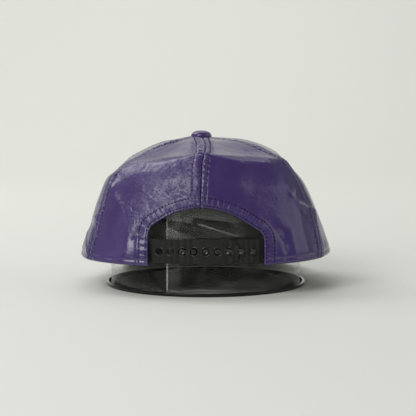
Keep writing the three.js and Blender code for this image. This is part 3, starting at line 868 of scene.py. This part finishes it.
back_panel("back_panel_left", "crown_panel_back_left", -1)
back_panel("back_panel_right", "crown_panel_back_right", 1)
side_panel("side_panel_right", "crown_panel_side_right", 60, 120)
side_panel("front_panel_right", "crown_panel_front_right", 120, 180)
side_panel("front_panel_left", "crown_panel_front_left", 180, 240)
side_panel("side_panel_left", "crown_panel_side_left", 240, -60)


# The seams and the opening's edge are sewn with dark purple thread: short stitches that sink a
# little into the leather, in rows along each seam and round the opening.
stitch_length = 1.5
stitch_pitch = 2.75
stitch_thick = 1.1
stitch_sink = 0.05
stitch_sides = 6
# Along a stitch, where its rings are, and how fat it is there, as shares.
stitch_rings = ((-0.05, 0.35), (0.14, 0.85), (0.5, 1.0), (0.86, 0.85), (1.05, 0.35))
thread_finish = Finish("thread")
thread_twist = thread_finish.node(
    "TexWave", {"bands_direction": "DIAGONAL"}, Vector=thread_finish.where, Scale=1100.0, Distortion=0.5
)
thread = thread_finish.set(
    Base_Color=thread_finish.colours(thread_twist, (0.003, 0.002, 0.009), (0.010, 0.006, 0.026)),
    Roughness=0.75,
    Specular_IOR_Level=0.25,
    Normal=thread_finish.bump(thread_twist, 0.0001, 0.6),
)


def stitched(line, normal):
    """Stitches along a line, each a short rounded bar of thread, from the line's points and normals."""
    gaps = np.concatenate([[0], np.cumsum(np.linalg.norm(np.diff(line, axis=0), axis=1))])
    count = int(gaps[-1] / stitch_pitch)
    starts = (np.arange(count) + 0.3) * gaps[-1] / count

    def at(values, places):
        return np.stack([np.interp(places, gaps, values[:, k]) for k in range(3)], 1)

    first, last = at(line, starts), at(line, starts + stitch_length)
    out = at(normal, starts + stitch_length / 2)
    along = last - first
    along /= np.linalg.norm(along, axis=1, keepdims=True)
    side = np.cross(along, out)
    points = []
    for share, fat in stitch_rings:
        middle = first + (last - first) * share + out * (0.16 * (1 - (2 * share - 1) ** 2) - 0.04)
        for step in range(stitch_sides):
            turn = 2 * math.pi * step / stitch_sides
            reach = stitch_thick / 2 * fat
            points.append(middle + side * reach * math.cos(turn) + out * reach * math.sin(turn))
    points = np.stack(points, 1).reshape(-1, 3)
    faces = []
    last_ring = (len(stitch_rings) - 1) * stitch_sides
    for start in range(0, len(points), last_ring + stitch_sides):
        faces.append([start + step for step in range(stitch_sides)])
        faces.append([start + last_ring + step for step in range(stitch_sides)][::-1])
        for low in range(start, start + last_ring, stitch_sides):
            high = low + stitch_sides
            for step in range(stitch_sides):
                turned = (step + 1) % stitch_sides
                faces.append([low + step, high + step, high + turned, low + turned])
    return points, faces


def sewn_row(azimuth, up):
    line, normal, _ = leather_at(azimuth, up, -stitch_sink)
    return stitched(line, normal)


def sew(name, rows):
    points, faces = [], []
    shift = 0
    for row_points, row_faces in rows:
        points.append(row_points)
        faces += [[shift + corner for corner in face] for face in row_faces]
        shift += len(row_points)
    stitches = smooth_piece(name, np.concatenate(points), faces, (thread,))
    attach(stitches, "root")


def beside_seam(seam, aside, low, high=0.93):
    up = np.linspace(low, high, 240)
    azimuth = seam_azimuth(seam, up)
    return azimuth + np.degrees(aside / radius_at(plain_crown(azimuth, up), up)), up


def arch_row(distance):
    """A line at this distance outside the opening's edge, from one foot to the other."""
    run = np.diff(arch_line, axis=0)
    out = np.stack([-run[:, 1], run[:, 0]], 1) / np.linalg.norm(run, axis=1, keepdims=True)
    corner = np.concatenate([out[:1], out[:-1] + out[1:], out[-1:]])
    corner /= np.linalg.norm(corner, axis=1, keepdims=True)
    line = evenly(arch_line + corner * distance, 260)
    line = line[line[:, 1] > 2.2]
    azimuth, up = np.empty(len(line)), np.empty(len(line))
    for half in (line[:, 0] < 0, line[:, 0] >= 0):
        guess = -25.0 if half[0] else 25.0
        azimuth[half], up[half] = up_and_azimuth(line[half, 0], line[half, 1], guess)
    return azimuth, up


seam_starts = {-60: 0.03, 0: 0.385, 60: 0.03, 120: 0.03, 180: 0.03, 240: 0.03}
for seam, rows in seam_rows.items():
    lines = [beside_seam(seam, aside, seam_starts[seam]) for aside in rows]
    sew("seam_stitches_%d" % (seam % 360), [sewn_row(*line) for line in lines])
sew("opening_stitches", [sewn_row(*arch_row(distance)) for distance in arch_rows])


# The button on top is a metal disc covered with a round of the same leather, drawn tight underneath. Its
# rivet goes through the crown where the six seams meet.
button_radius = 8.7
button_edge = 123.3
button_under = 2.2
button_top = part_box("top_button")[1].z / MM
deselect()
bpy.ops.mesh.primitive_uv_sphere_add(segments=64, ring_count=32, radius=1)
button = bpy.context.object
button.name = "covered_button"
for vertex in button.data.vertices:
    x, y, z = vertex.co
    around = math.atan2(y, x)
    spread = math.hypot(x, y) ** 0.82
    drawn = 1 + 0.012 * math.sin(around * 9) + 0.008 * math.sin(around * 23 + 1)
    reach = button_radius * spread * (drawn if z < 0.35 else 1)
    rise = (button_top - button_edge) * z**0.9 if z > 0 else button_under * z
    vertex.co = (
        (-lean_left + reach * math.cos(around)) * MM,
        reach * math.sin(around) * MM,
        (button_edge + rise) * MM,
    )
button.data.materials.append(leather)
button_crumple = button.data.attributes.new("crumple", "FLOAT", "POINT")
button_crumple.data.foreach_set("value", [0.15] * len(button.data.vertices))
bpy.ops.object.shade_smooth()
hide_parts("top_button")
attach(button, "root")


# The snap strap is two moulded strips of soft black plastic. The outer one has round holes, each in
# a raised ring, and its free end lies over the inner one, whose studs snap into the holes.
strap_low, strap_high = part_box("snap_strap_holes")
stud_low, stud_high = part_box("snap_strap_studs")
strap_middle = (strap_low.z + strap_high.z) / 2 / MM
strap_half = (strap_high.z - strap_low.z) / 2 / MM
strap_thick = 1.5
strap_corner = 7.0
strap_edge_round = 0.22
strap_step = 1.5
weld_distance = 0.00001
snap_first = arch_across - arch_width / 2 + 8.7
snap_pitch = 9.15
hole_radius = 2.9
stud_radius = 2.3
snaps = 7
fastened = 5
# A stud's outline: how far out and how high it is, as shares, from its foot to the dimple in its head.
stud_shares = ((0.93, 0.0), (0.93, 0.55), (1.0, 0.74), (0.97, 0.9))
stud_shares += ((0.86, 1.0), (0.66, 1.0), (0.48, 0.88), (0.2, 0.8))
snap_places = [snap_first + snap_pitch * k for k in range(2 * snaps - fastened)]

plastic_finish = Finish("strap_plastic")
mould_grain = plastic_finish.noise(1400.0, 2.0)
scuffs = plastic_finish.noise(55.0, 4.0, rough=0.65)
strap_plastic = plastic_finish.set(
    Base_Color=plastic_finish.colours(scuffs, (0.0075, 0.0078, 0.0070), (0.0110, 0.0114, 0.0102)),
    Roughness=(0.47 + scuffs * 0.12).clamped(),
    Specular_IOR_Level=0.35,
    Normal=plastic_finish.bump(mould_grain, 0.00006, 0.5),
)
moulded_finish = Finish("polished_rings")
polished_rings = moulded_finish.set(
    Base_Color=moulded_finish.colours(
        moulded_finish.noise(90.0, 3.0), (0.010, 0.0104, 0.0092), (0.018, 0.0185, 0.017)
    ),
    Roughness=(moulded_finish.noise(300.0, 2.0) * 0.2 + 0.16).clamped(),
    Specular_IOR_Level=0.6,
)


def strip_outline(start, end, free_right):
    """A strip's outline, flat: across and above its middle line, with a round free end."""
    reach = end - start
    turn = np.linspace(0, math.pi / 2, 9)
    top = [(along, strap_half) for along in np.arange(0, reach - strap_corner, 2.5)]
    for t in turn:
        along = reach - strap_corner + strap_corner * math.sin(t)
        top.append((along, strap_half - strap_corner + strap_corner * math.cos(t)))
    whole = top + [(x, -z) for x, z in reversed(top)]
    if free_right:
        return [(start + x, z) for x, z in whole]
    return [(end - x, z) for x, z in whole]


def flat_strip(name, outline, holes):
    curve = bpy.data.curves.new(name, "CURVE")
    curve.dimensions = "2D"
    curve.fill_mode = "BOTH"
    curve.extrude = strap_thick / 2 - strap_edge_round
    curve.bevel_depth = strap_edge_round
    curve.bevel_resolution = 2
    loops = [outline]
    for across in holes:
        turns = np.linspace(0, 2 * math.pi, 40, endpoint=False)
        reach = hole_radius + strap_edge_round
        loops.append([(across + reach * math.cos(t), reach * math.sin(t)) for t in turns])
    for loop in loops:
        spline = curve.splines.new("POLY")
        spline.points.add(len(loop) - 1)
        for point, (x, z) in zip(spline.points, loop):
            point.co = (x, z, 0, 1)
        spline.use_cyclic_u = True
    strip = bpy.data.objects.new(name, curve)
    bpy.context.collection.objects.link(strip)
    pick(strip)
    bpy.ops.object.convert(target="MESH")
    strip = bpy.context.object
    bpy.ops.object.mode_set(mode="EDIT")
    low, high = min(x for x, _ in outline), max(x for x, _ in outline)
    for place in np.arange(low + strap_step, high, strap_step):
        bpy.ops.mesh.select_all(action="SELECT")
        bpy.ops.mesh.bisect(plane_co=(place, 0, 0), plane_no=(1, 0, 0))
    bpy.ops.object.mode_set(mode="OBJECT")
    return strip


def turned_parts(across, profile, around):
    """A round part on a flat strip, from a profile of distances from its middle and heights."""
    points, faces = [], []
    for reach, rise in profile:
        for i in range(around):
            turn = 2 * math.pi * i / around
            points.append((across + reach * math.cos(turn), reach * math.sin(turn), rise))
    for k in range(len(profile) - 1):
        for i in range(around):
            j = (i + 1) % around
            faces.append((k * around + i, k * around + j, (k + 1) * around + j, (k + 1) * around + i))
    faces.append(tuple(range(around))[::-1])
    faces.append(tuple((len(profile) - 1) * around + i for i in range(around)))
    return points, faces


def ring_parts(across):
    """The raised ring round a hole."""
    fat = 0.42
    points, faces = [], []
    around, section = 36, 8
    for i in range(around):
        turn = 2 * math.pi * i / around
        for k in range(section):
            tilt = 2 * math.pi * k / section
            reach = hole_radius + 0.6 + fat * math.cos(tilt)
            rise = strap_thick / 2 - 0.08 + fat * math.sin(tilt)
            points.append((across + reach * math.cos(turn), reach * math.sin(turn), rise))
            a, b = i * section + k, i * section + (k + 1) % section
            c, d = (i + 1) % around * section + (k + 1) % section, (i + 1) % around * section + k
            faces.append((a, d, c, b))
    return points, faces


def stud_parts(across):
    """A stud with a rounded head and a dimple in it."""
    high = strap_thick / 2 + strap_thick + 0.3 + 0.45
    return turned_parts(across, [(stud_radius * reach, high * rise) for reach, rise in stud_shares], 32)


def lay_strip(strip, parts, node):
    """Adds the round parts to a flat strip, and lays it round the cap along its solid's outside."""
    points = [tuple(vertex.co) for vertex in strip.data.vertices]
    faces = [tuple(face.vertices) for face in strip.data.polygons]
    flat_faces = len(faces)
    for part_points, part_faces in parts:
        shift = len(points)
        points += part_points
        faces += [tuple(shift + corner for corner in face) for face in part_faces]
    solid = np.array([vertex.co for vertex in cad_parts[node].data.vertices]) / MM
    solid = solid[np.abs(solid[:, 2] - strap_middle) > stud_radius + 1]
    lines = {}
    for x, y, _ in solid:
        lines[round(x, 1)] = min(y, lines.get(round(x, 1), 1e9))
    xs = np.array(sorted(lines))
    ys = np.array([lines[x] for x in xs])
    laid = []
    for x, z, depth in points:
        slope = (np.interp(x + 0.6, xs, ys) - np.interp(x - 0.6, xs, ys)) / 1.2
        length = math.hypot(1, slope)
        inwards = strap_thick / 2 - depth
        back = np.interp(x, xs, ys)
        laid.append((x - inwards * slope / length, back + inwards / length, strap_middle + z))
    mesh = bpy.data.meshes.new(strip.name)
    mesh.from_pydata((np.array(laid) * MM).tolist(), [], faces)
    mesh.materials.append(strap_plastic)
    mesh.materials.append(polished_rings)
    mesh.polygons.foreach_set("material_index", [int(k >= flat_faces) for k in range(len(faces))])
    strip.data = mesh
    edit_whole(strip)
    bpy.ops.mesh.remove_doubles(threshold=weld_distance)
    bpy.ops.mesh.normals_make_consistent(inside=False)
    bpy.ops.object.mode_set(mode="OBJECT")
    bpy.ops.object.shade_smooth()
    even = strip.modifiers.new("even", "WEIGHTED_NORMAL")
    even.weight = 100
    even.mode = "FACE_AREA"
    bpy.ops.object.modifier_apply(modifier="even")
    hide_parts(node)
    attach(strip, "root")


outer_outline = strip_outline(strap_low.x / MM, strap_high.x / MM, True)
outer_strip = flat_strip("outer_strip", outer_outline, snap_places[:snaps])
lay_strip(outer_strip, [ring_parts(across) for across in snap_places[:snaps]], "snap_strap_holes")
inner_outline = strip_outline(stud_low.x / MM, stud_high.x / MM, False)
inner_strip = flat_strip("inner_strip", inner_outline, [])
stud_places = snap_places[snaps - fastened :]
lay_strip(inner_strip, [stud_parts(across) for across in stud_places], "snap_strap_studs")


# The sweatband is a strip of dark woven fabric, hemmed along both edges and sewn inside the rim. It is a
# copy of its solid with finer faces, and a little wavy where the stitches draw it.
hem_width = 0.0004
band_wave = 0.35
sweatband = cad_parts["sweatband"]
fabric_finish = Finish("sweatband_fabric")
weft = fabric_finish.node(
    "TexWave", {"bands_direction": "Z"}, Vector=fabric_finish.where, Scale=520.0, Distortion=0.6
)
warp = fabric_finish.node(
    "TexWave", {"bands_direction": "DIAGONAL"}, Vector=fabric_finish.where, Scale=420.0, Distortion=0.8
)
weave = weft * 0.5 + warp * 0.5
sweatband_fabric = fabric_finish.set(
    Base_Color=fabric_finish.colours(weave, (0.010, 0.010, 0.009), (0.026, 0.026, 0.023)),
    Roughness=0.9,
    Sheen_Weight=0.3,
    Normal=fabric_finish.bump(weave, 0.0003, 0.7),
)
lining_band = bpy.data.objects.new("lining_band", sweatband.data.copy())
bpy.context.collection.objects.link(lining_band)
lining_band.data.materials.clear()
lining_band.data.materials.append(sweatband_fabric)
edit_whole(lining_band)
bpy.ops.mesh.remove_doubles(threshold=2 * weld_distance)
bpy.ops.mesh.tris_convert_to_quads()
bpy.ops.object.mode_set(mode="OBJECT")
hem = lining_band.modifiers.new("hem", "BEVEL")
hem.width = hem_width
hem.segments = 2
hem.limit_method = "ANGLE"
hem.angle_limit = math.radians(50)
bpy.ops.object.modifier_apply(modifier="hem")
finer = lining_band.modifiers.new("finer", "SUBSURF")
finer.levels = finer.render_levels = 2
finer.subdivision_type = "SIMPLE"
bpy.ops.object.modifier_apply(modifier="finer")
band_places = np.array([vertex.co for vertex in lining_band.data.vertices]) / MM
band_waves = band_wave * waves(band_places, 13.0, 11, 2)
outward = band_places[:, :2] / np.linalg.norm(band_places[:, :2], axis=1, keepdims=True)
band_places[:, :2] -= outward * np.abs(band_waves)[:, None]
lining_band.data.vertices.foreach_set("co", (band_places * MM).ravel())
lining_band.data.update()
bpy.ops.object.shade_smooth_by_angle(angle=math.radians(40))
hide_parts("sweatband")
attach(lining_band, "root")


# The peak is a stiff curved board, leather above and dark cloth below, with a rolled edge and rows of
# stitches that follow it. Its inner edge is sewn under the front of the rim.
peak_width = 172.0
peak_reach = 71.0
peak_thick = 3.4
peak_spread = 52.0
peak_slope = 0.27
peak_droop = 7.5
peak_squareness = 2.35
peak_gap = 0.3
peak_tuck = 3.6
peak_row_gap = 8.0
peak_rows = [5.0 + peak_row_gap * k for k in range(6)]
peak_row_sink = 0.35
peak_swell = 0.12
peak_unevenness = 0.2
peak_columns, peak_steps, peak_turn = 140, 60, 9
peak_end_y = float(-rim_radius(np.array([180 - peak_spread]))[0] * math.cos(math.radians(180 - peak_spread)))
peak_tip = cap_depth / 2 + peak_reach - peak_end_y


def peak_at(along, out, lift=0.0):
    """Points of the peak's top: along runs round it from -1 to 1, out from the rim at 0 to the edge."""
    azimuth = 180 - peak_spread * along
    nothing = np.zeros_like(along)
    inner = plain_crown(azimuth, nothing)
    inner = inner + crown_normal(azimuth, nothing) * (fold_out(azimuth, nothing) - crown_wall)[:, None]
    inner_z = np.minimum(inner[:, 2], rim_height(azimuth)) - peak_gap
    angle = math.pi / 2 * along
    power = 2 / peak_squareness
    roll = peak_thick / 2
    outer_x = (peak_width / 2 - roll) * np.sign(angle) * np.abs(np.sin(angle)) ** power
    outer_y = peak_end_y + (peak_tip - roll) * np.abs(np.cos(angle)) ** power
    x = inner[:, 0] + (outer_x - inner[:, 0]) * out
    y = inner[:, 1] + (outer_y - inner[:, 1]) * out
    run = np.hypot(x - inner[:, 0], y - inner[:, 1])
    length = np.hypot(outer_x - inner[:, 0], outer_y - inner[:, 1])
    sideways = np.abs(x) / (peak_width / 2)
    z = inner_z - peak_slope * run - peak_droop * sideways**2 * smooth(0, 1, out) + lift
    z += peak_tuck * np.clip(1 - out * peak_steps, 0, 1)
    outward = np.stack([outer_x - inner[:, 0], outer_y - inner[:, 1], -peak_slope * length], 1)
    outward /= np.linalg.norm(outward, axis=1, keepdims=True)
    return np.stack([x, y, z], 1), outward, length * (1 - out)


peak_along = np.linspace(-1, 1, peak_columns)
peak_rings = []
for step in range(peak_steps + 1):
    top_points, _, from_edge = peak_at(peak_along, np.full(peak_columns, step / peak_steps))
    sunk = sum(-peak_row_sink * bell(from_edge - row, 0.8) for row in peak_rows)
    swell = peak_swell * np.cos(2 * math.pi * (from_edge - 1) / peak_row_gap) * (from_edge > 3)
    top_points[:, 2] += sunk + swell + peak_unevenness * waves(top_points, 14.0, 7, 3)
    peak_rings.append(top_points)
edge_points, edge_outward, _ = peak_at(peak_along, np.ones(peak_columns))
roll = peak_thick / 2
for step in range(1, peak_turn):
    turn = math.pi * step / peak_turn
    shift = edge_outward * roll * math.sin(turn)
    shift[:, 2] += roll * (math.cos(turn) - 1)
    peak_rings.append(edge_points + shift)
for step in range(peak_steps, -1, -3):
    under, _, _ = peak_at(peak_along, np.full(peak_columns, step / peak_steps), -peak_thick)
    peak_rings.append(under)
peak_points = np.stack(peak_rings, 1).reshape(-1, 3)
ring_count = len(peak_rings)
peak_faces, peak_slots = [], []
for i in range(peak_columns - 1):
    for k in range(ring_count):
        a, b = i * ring_count + k, i * ring_count + (k + 1) % ring_count
        c, d = (i + 1) * ring_count + (k + 1) % ring_count, (i + 1) * ring_count + k
        peak_faces.append((a, b, c, d))
        peak_slots.append(1 if k >= peak_steps + peak_turn - 2 else 0)
peak_faces.append(tuple(range(ring_count))[::-1])
peak_faces.append(tuple((peak_columns - 1) * ring_count + k for k in range(ring_count)))
peak_slots += [0, 0]
curved_peak = smooth_piece(
    "curved_peak", peak_points, peak_faces, (leather, lining), np.full(len(peak_points), 0.2)
)
curved_peak.data.polygons.foreach_set("material_index", peak_slots)
edit_whole(curved_peak)
bpy.ops.mesh.normals_make_consistent(inside=False)
bpy.ops.object.mode_set(mode="OBJECT")
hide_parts("peak")
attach(curved_peak, "root")


def peak_line(row):
    """A line along the peak's top, at this distance inside its edge."""
    along = np.linspace(-0.985, 0.985, 300)
    reach = peak_at(along, np.ones(300))[0] - peak_at(along, np.zeros(300))[0]
    length = np.hypot(reach[:, 0], reach[:, 1])
    inside = length > row + 2.5
    along, length = along[inside], length[inside]
    return peak_at(along, 1 - row / length, -0.45)[0]


peak_sides = []
for row in peak_rows:
    line = peak_line(row)
    peak_sides.append(stitched(line, np.tile([[0.0, 0.0, 1.0]], (len(line), 1))))
sew("peak_stitches", peak_sides)


# The stand's band is a clear plastic sheet, rolled up and lapped. Pale lines painted along its lap and its
# creases are painted highlights, and a pale haze over the part seen through the opening is a painted
# reflection. It stands in the base and the crown rests on its top edge.
lap_azimuth = -22.0
lap_width = 11.0
lap_rise = 0.75
rolled_radius = 79.75
rolled_wall = 0.5
rolled_columns, rolled_rows = 300, 24
# Painted highlights along creases across the sheet's back, seen from behind in metres: start, end, width
# and strength.
crease_glint_lines = (
    ((-0.0070, 0.0578), (0.0262, 0.0471), 0.0012, 1.0),
    ((0.0250, 0.0581), (0.0240, 0.0516), 0.0010, 0.5),
    ((-0.0295, 0.0607), (-0.0070, 0.0575), 0.0010, 0.35),
    ((-0.0114, 0.0484), (-0.0063, 0.0555), 0.0010, 0.4),
    ((0.0240, 0.0516), (0.0262, 0.0471), 0.0010, 0.7),
)
clear_finish = Finish("clear_plastic")
facing = clear_finish.node("LayerWeight", Blend=0.5, output="Facing")
haze = clear_finish.noise(30.0, 3.0)
across, back, above = clear_finish.places()


def near_line(value, width):
    """A mask of 1 where a value is near 0, falling to 0 at this width."""
    return (1 - abs(value) / width).clamped()


def past(value, sharpness):
    """A mask that rises to 1 as a value comes up to 0, or falls from 1 past it if sharpness is negative."""
    return (1 + value * sharpness).clamped()


def crease_glint(start, end, width):
    """A mask of a painted highlight along a crease across the sheet's back, between two points seen from
    behind, in metres.
    """
    run = (end[0] - start[0], end[1] - start[1])
    length = math.hypot(*run)
    ahead = (run[0] / length, run[1] / length)
    along = (across - start[0]) * ahead[0] + (above - start[1]) * ahead[1]
    aside = (across - start[0]) * ahead[1] - (above - start[1]) * ahead[0]
    ends = ((along * 400).clamped()) * (((length - along) * 400).clamped())
    return near_line(aside, width) * ends * on_back


on_back = (back * -200).clamped()
# A pale line painted along the lap is a painted highlight, fainter higher up.
lap_shine = 0.42 - ((above - 0.040) * 200).clamped() * 0.24
lap_x = -(rolled_radius + lap_rise) * MM * math.sin(math.radians(-lap_azimuth))
lap_highlight = near_line(across - lap_x, 0.0007) * on_back
# Pale lines painted along the creases are painted highlights, and the soft bends get faint painted glints
# too.
crease_glints = sum(crease_glint(start, end, width) * strength for start, end, width, strength in crease_glint_lines)
soft_bend_glints = (1 - abs(clear_finish.noise(26.0, 1.0, distortion=1.5) * 2 - 1)) ** 9
# A pale haze painted over the part of the sheet seen through the opening is a painted reflection of the
# bright room. It has an upper and a lower region with slanted edges, and the lower one is weaker.
right_part = past(across + 0.009, 400)
upper_reflection = past(above - 0.0609 + (across + 0.030) * 0.10, 900) * (1 - right_part)
upper_reflection = upper_reflection + past(above - 0.0632 + (across + 0.0095) * 0.141, 900) * right_part
lower_reflection = past(above - 0.0535 + (across + 0.0283) * 0.385, -900) * ((across + 0.0318) * 900).clamped()
lower_reflection = lower_reflection * ((above - 0.030) * 200).clamped() * (1 - ((across + 0.004) * 500).clamped())
painted_reflection = (upper_reflection + lower_reflection * 0.7).clamped() * on_back
cover = (facing**5) * 0.5 + 0.006 + haze * 0.006 + lap_highlight * lap_shine
cover = cover + (crease_glints**1.5) * 0.13 + soft_bend_glints * 0.015 + painted_reflection * 0.05
clear_plastic = clear_finish.set(
    Base_Color=(0.80, 0.82, 0.78),
    Metallic=(0.7 - (crease_glints + painted_reflection) * 0.7 - lap_highlight * 0.6).clamped(),
    Roughness=(0.05 + crease_glints * 0.25 + soft_bend_glints * 0.1).clamped(),
    Alpha=cover.clamped(),
)
lap_turn = lap_width / rolled_radius
band_low, band_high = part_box("stand_band")
sheet_turn = np.linspace(0, 2 * math.pi + lap_turn, rolled_columns)
sheet_turn, sheet_rise = np.meshgrid(sheet_turn, np.linspace(0, 1, rolled_rows), indexing="ij")
sheet_turn, sheet_rise = sheet_turn.ravel(), sheet_rise.ravel()
lapped = smooth(2 * math.pi - 0.12, 2 * math.pi + 0.01, sheet_turn)
ripple = 0.22 * np.sin(5 * sheet_turn + 2.0 * sheet_rise) + 0.12 * np.sin(11 * sheet_turn - 3.0 * sheet_rise)
ripple = ripple * np.sin(sheet_turn / 2) ** 2
sheet_radius = rolled_radius + lap_rise * lapped + ripple * (0.3 + 0.7 * sheet_rise)
sheet_angle = sheet_turn + math.radians(lap_azimuth - 90)
sheet_points = np.stack(
    [
        sheet_radius * np.cos(sheet_angle),
        sheet_radius * np.sin(sheet_angle),
        band_low.z / MM + (band_high.z - band_low.z) / MM * sheet_rise,
    ],
    1,
)
rolled_sheet = sheet_piece(
    "rolled_sheet", sheet_points, np.zeros(len(sheet_points)), rolled_columns, rolled_rows, (clear_plastic,)
)
give_wall(rolled_sheet, rolled_wall, 0)
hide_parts("stand_band")
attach(rolled_sheet, "root")


# The base is a thin disc of glossy black plastic with a low lip, inside which the clear sheet stands. A
# pale grey painted on it is a painted reflection, paler towards the left, and it is left out in two dark
# patches and a stripe, which are painted dark reflections. Its front edge has pale specks that fade
# towards the right.
base_radius = 83.8
base_thick = 1.6
base_lip = 2.6
lip_width = 2.5
lip_round = 0.45
black = (0.002, 0.002, 0.0019)
reflection_grey = (0.36, 0.367, 0.335)
speck_colour = (0.42, 0.42, 0.39)
base_finish = Finish("glossy_black")
disc_across, disc_back, _ = base_finish.places()


def oval(across, back, wide, deep):
    """A soft-edged patch of the disc where the pale painted reflection is left out, as a painted dark
    reflection.
    """
    away = ((disc_across - across) / wide) ** 2 + ((disc_back - back) / deep) ** 2
    return ((1.25 - away) * 2.2).clamped()


from_middle = (disc_across**2 + disc_back**2) ** 0.5
at_front = ((from_middle - 0.056) * 160).clamped() * ((0.0745 - from_middle) * 400).clamped()
at_front = at_front * ((disc_back * -1 - 0.004) * 60).clamped() * (0.62 - disc_across * 7).clamped()
specks = base_finish.noise(620.0, 4.0, rough=0.8)
clouds = base_finish.noise(70.0, 3.0)
# Pale specks along the front edge, fading towards the right, which also roughen it.
front_specks = (specks * 2.4 - 0.8).clamped() * at_front * (clouds + 0.45)
# Two dark patches and a stripe are painted dark reflections, where the pale painted reflection is left out.
dark_reflections = (oval(-0.006, 0.018, 0.024, 0.062) + oval(0.030, 0.040, 0.023, 0.046)).clamped()
dark_reflection_stripe = (1 - abs((disc_across + 0.0335) + (disc_back + 0.050) * 0.167) / 0.004).clamped()
# The pale grey is a painted reflection. It is stronger towards the left and stops short of the edge.
pale_reflection = (1 - (dark_reflections + dark_reflection_stripe).clamped()) * (0.75 - disc_across * 3.0).clamped() * (0.7 + clouds * 0.6)
pale_reflection_inside = pale_reflection * ((0.0735 - from_middle) * 400).clamped()
glossy_black = base_finish.set(
    Base_Color=base_finish.colours(
        front_specks.clamped(), base_finish.colours(pale_reflection_inside.clamped(), black, reflection_grey), speck_colour
    ),
    Roughness=(0.05 + front_specks * 0.3).clamped(),
    Specular_IOR_Level=0.4,
)
deselect()
bpy.ops.mesh.primitive_cylinder_add(
    vertices=160, radius=base_radius * MM, depth=base_lip * MM, location=(0, 0, base_lip / 2 * MM)
)
disc = bpy.context.object
disc.name = "base_disc"
bpy.ops.object.transform_apply(location=True)
bpy.ops.object.mode_set(mode="EDIT")
bpy.ops.mesh.select_all(action="DESELECT")
disc_mesh = bmesh.from_edit_mesh(disc.data)
for face in disc_mesh.faces:
    face.select_set(face.normal.z > 0.9)
bmesh.update_edit_mesh(disc.data)
bpy.ops.mesh.inset(thickness=lip_width * MM)
bpy.ops.mesh.extrude_region_move(TRANSFORM_OT_translate={"value": (0, 0, (base_thick - base_lip) * MM)})
bpy.ops.object.mode_set(mode="OBJECT")
rounded = disc.modifiers.new("rounded", "BEVEL")
rounded.width = lip_round * MM
rounded.segments = 4
rounded.limit_method = "ANGLE"
bpy.ops.object.modifier_apply(modifier="rounded")
bpy.ops.object.shade_smooth_by_angle(angle=math.radians(35))
disc.data.materials.append(glossy_black)
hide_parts("stand_base")
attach(disc, "root")


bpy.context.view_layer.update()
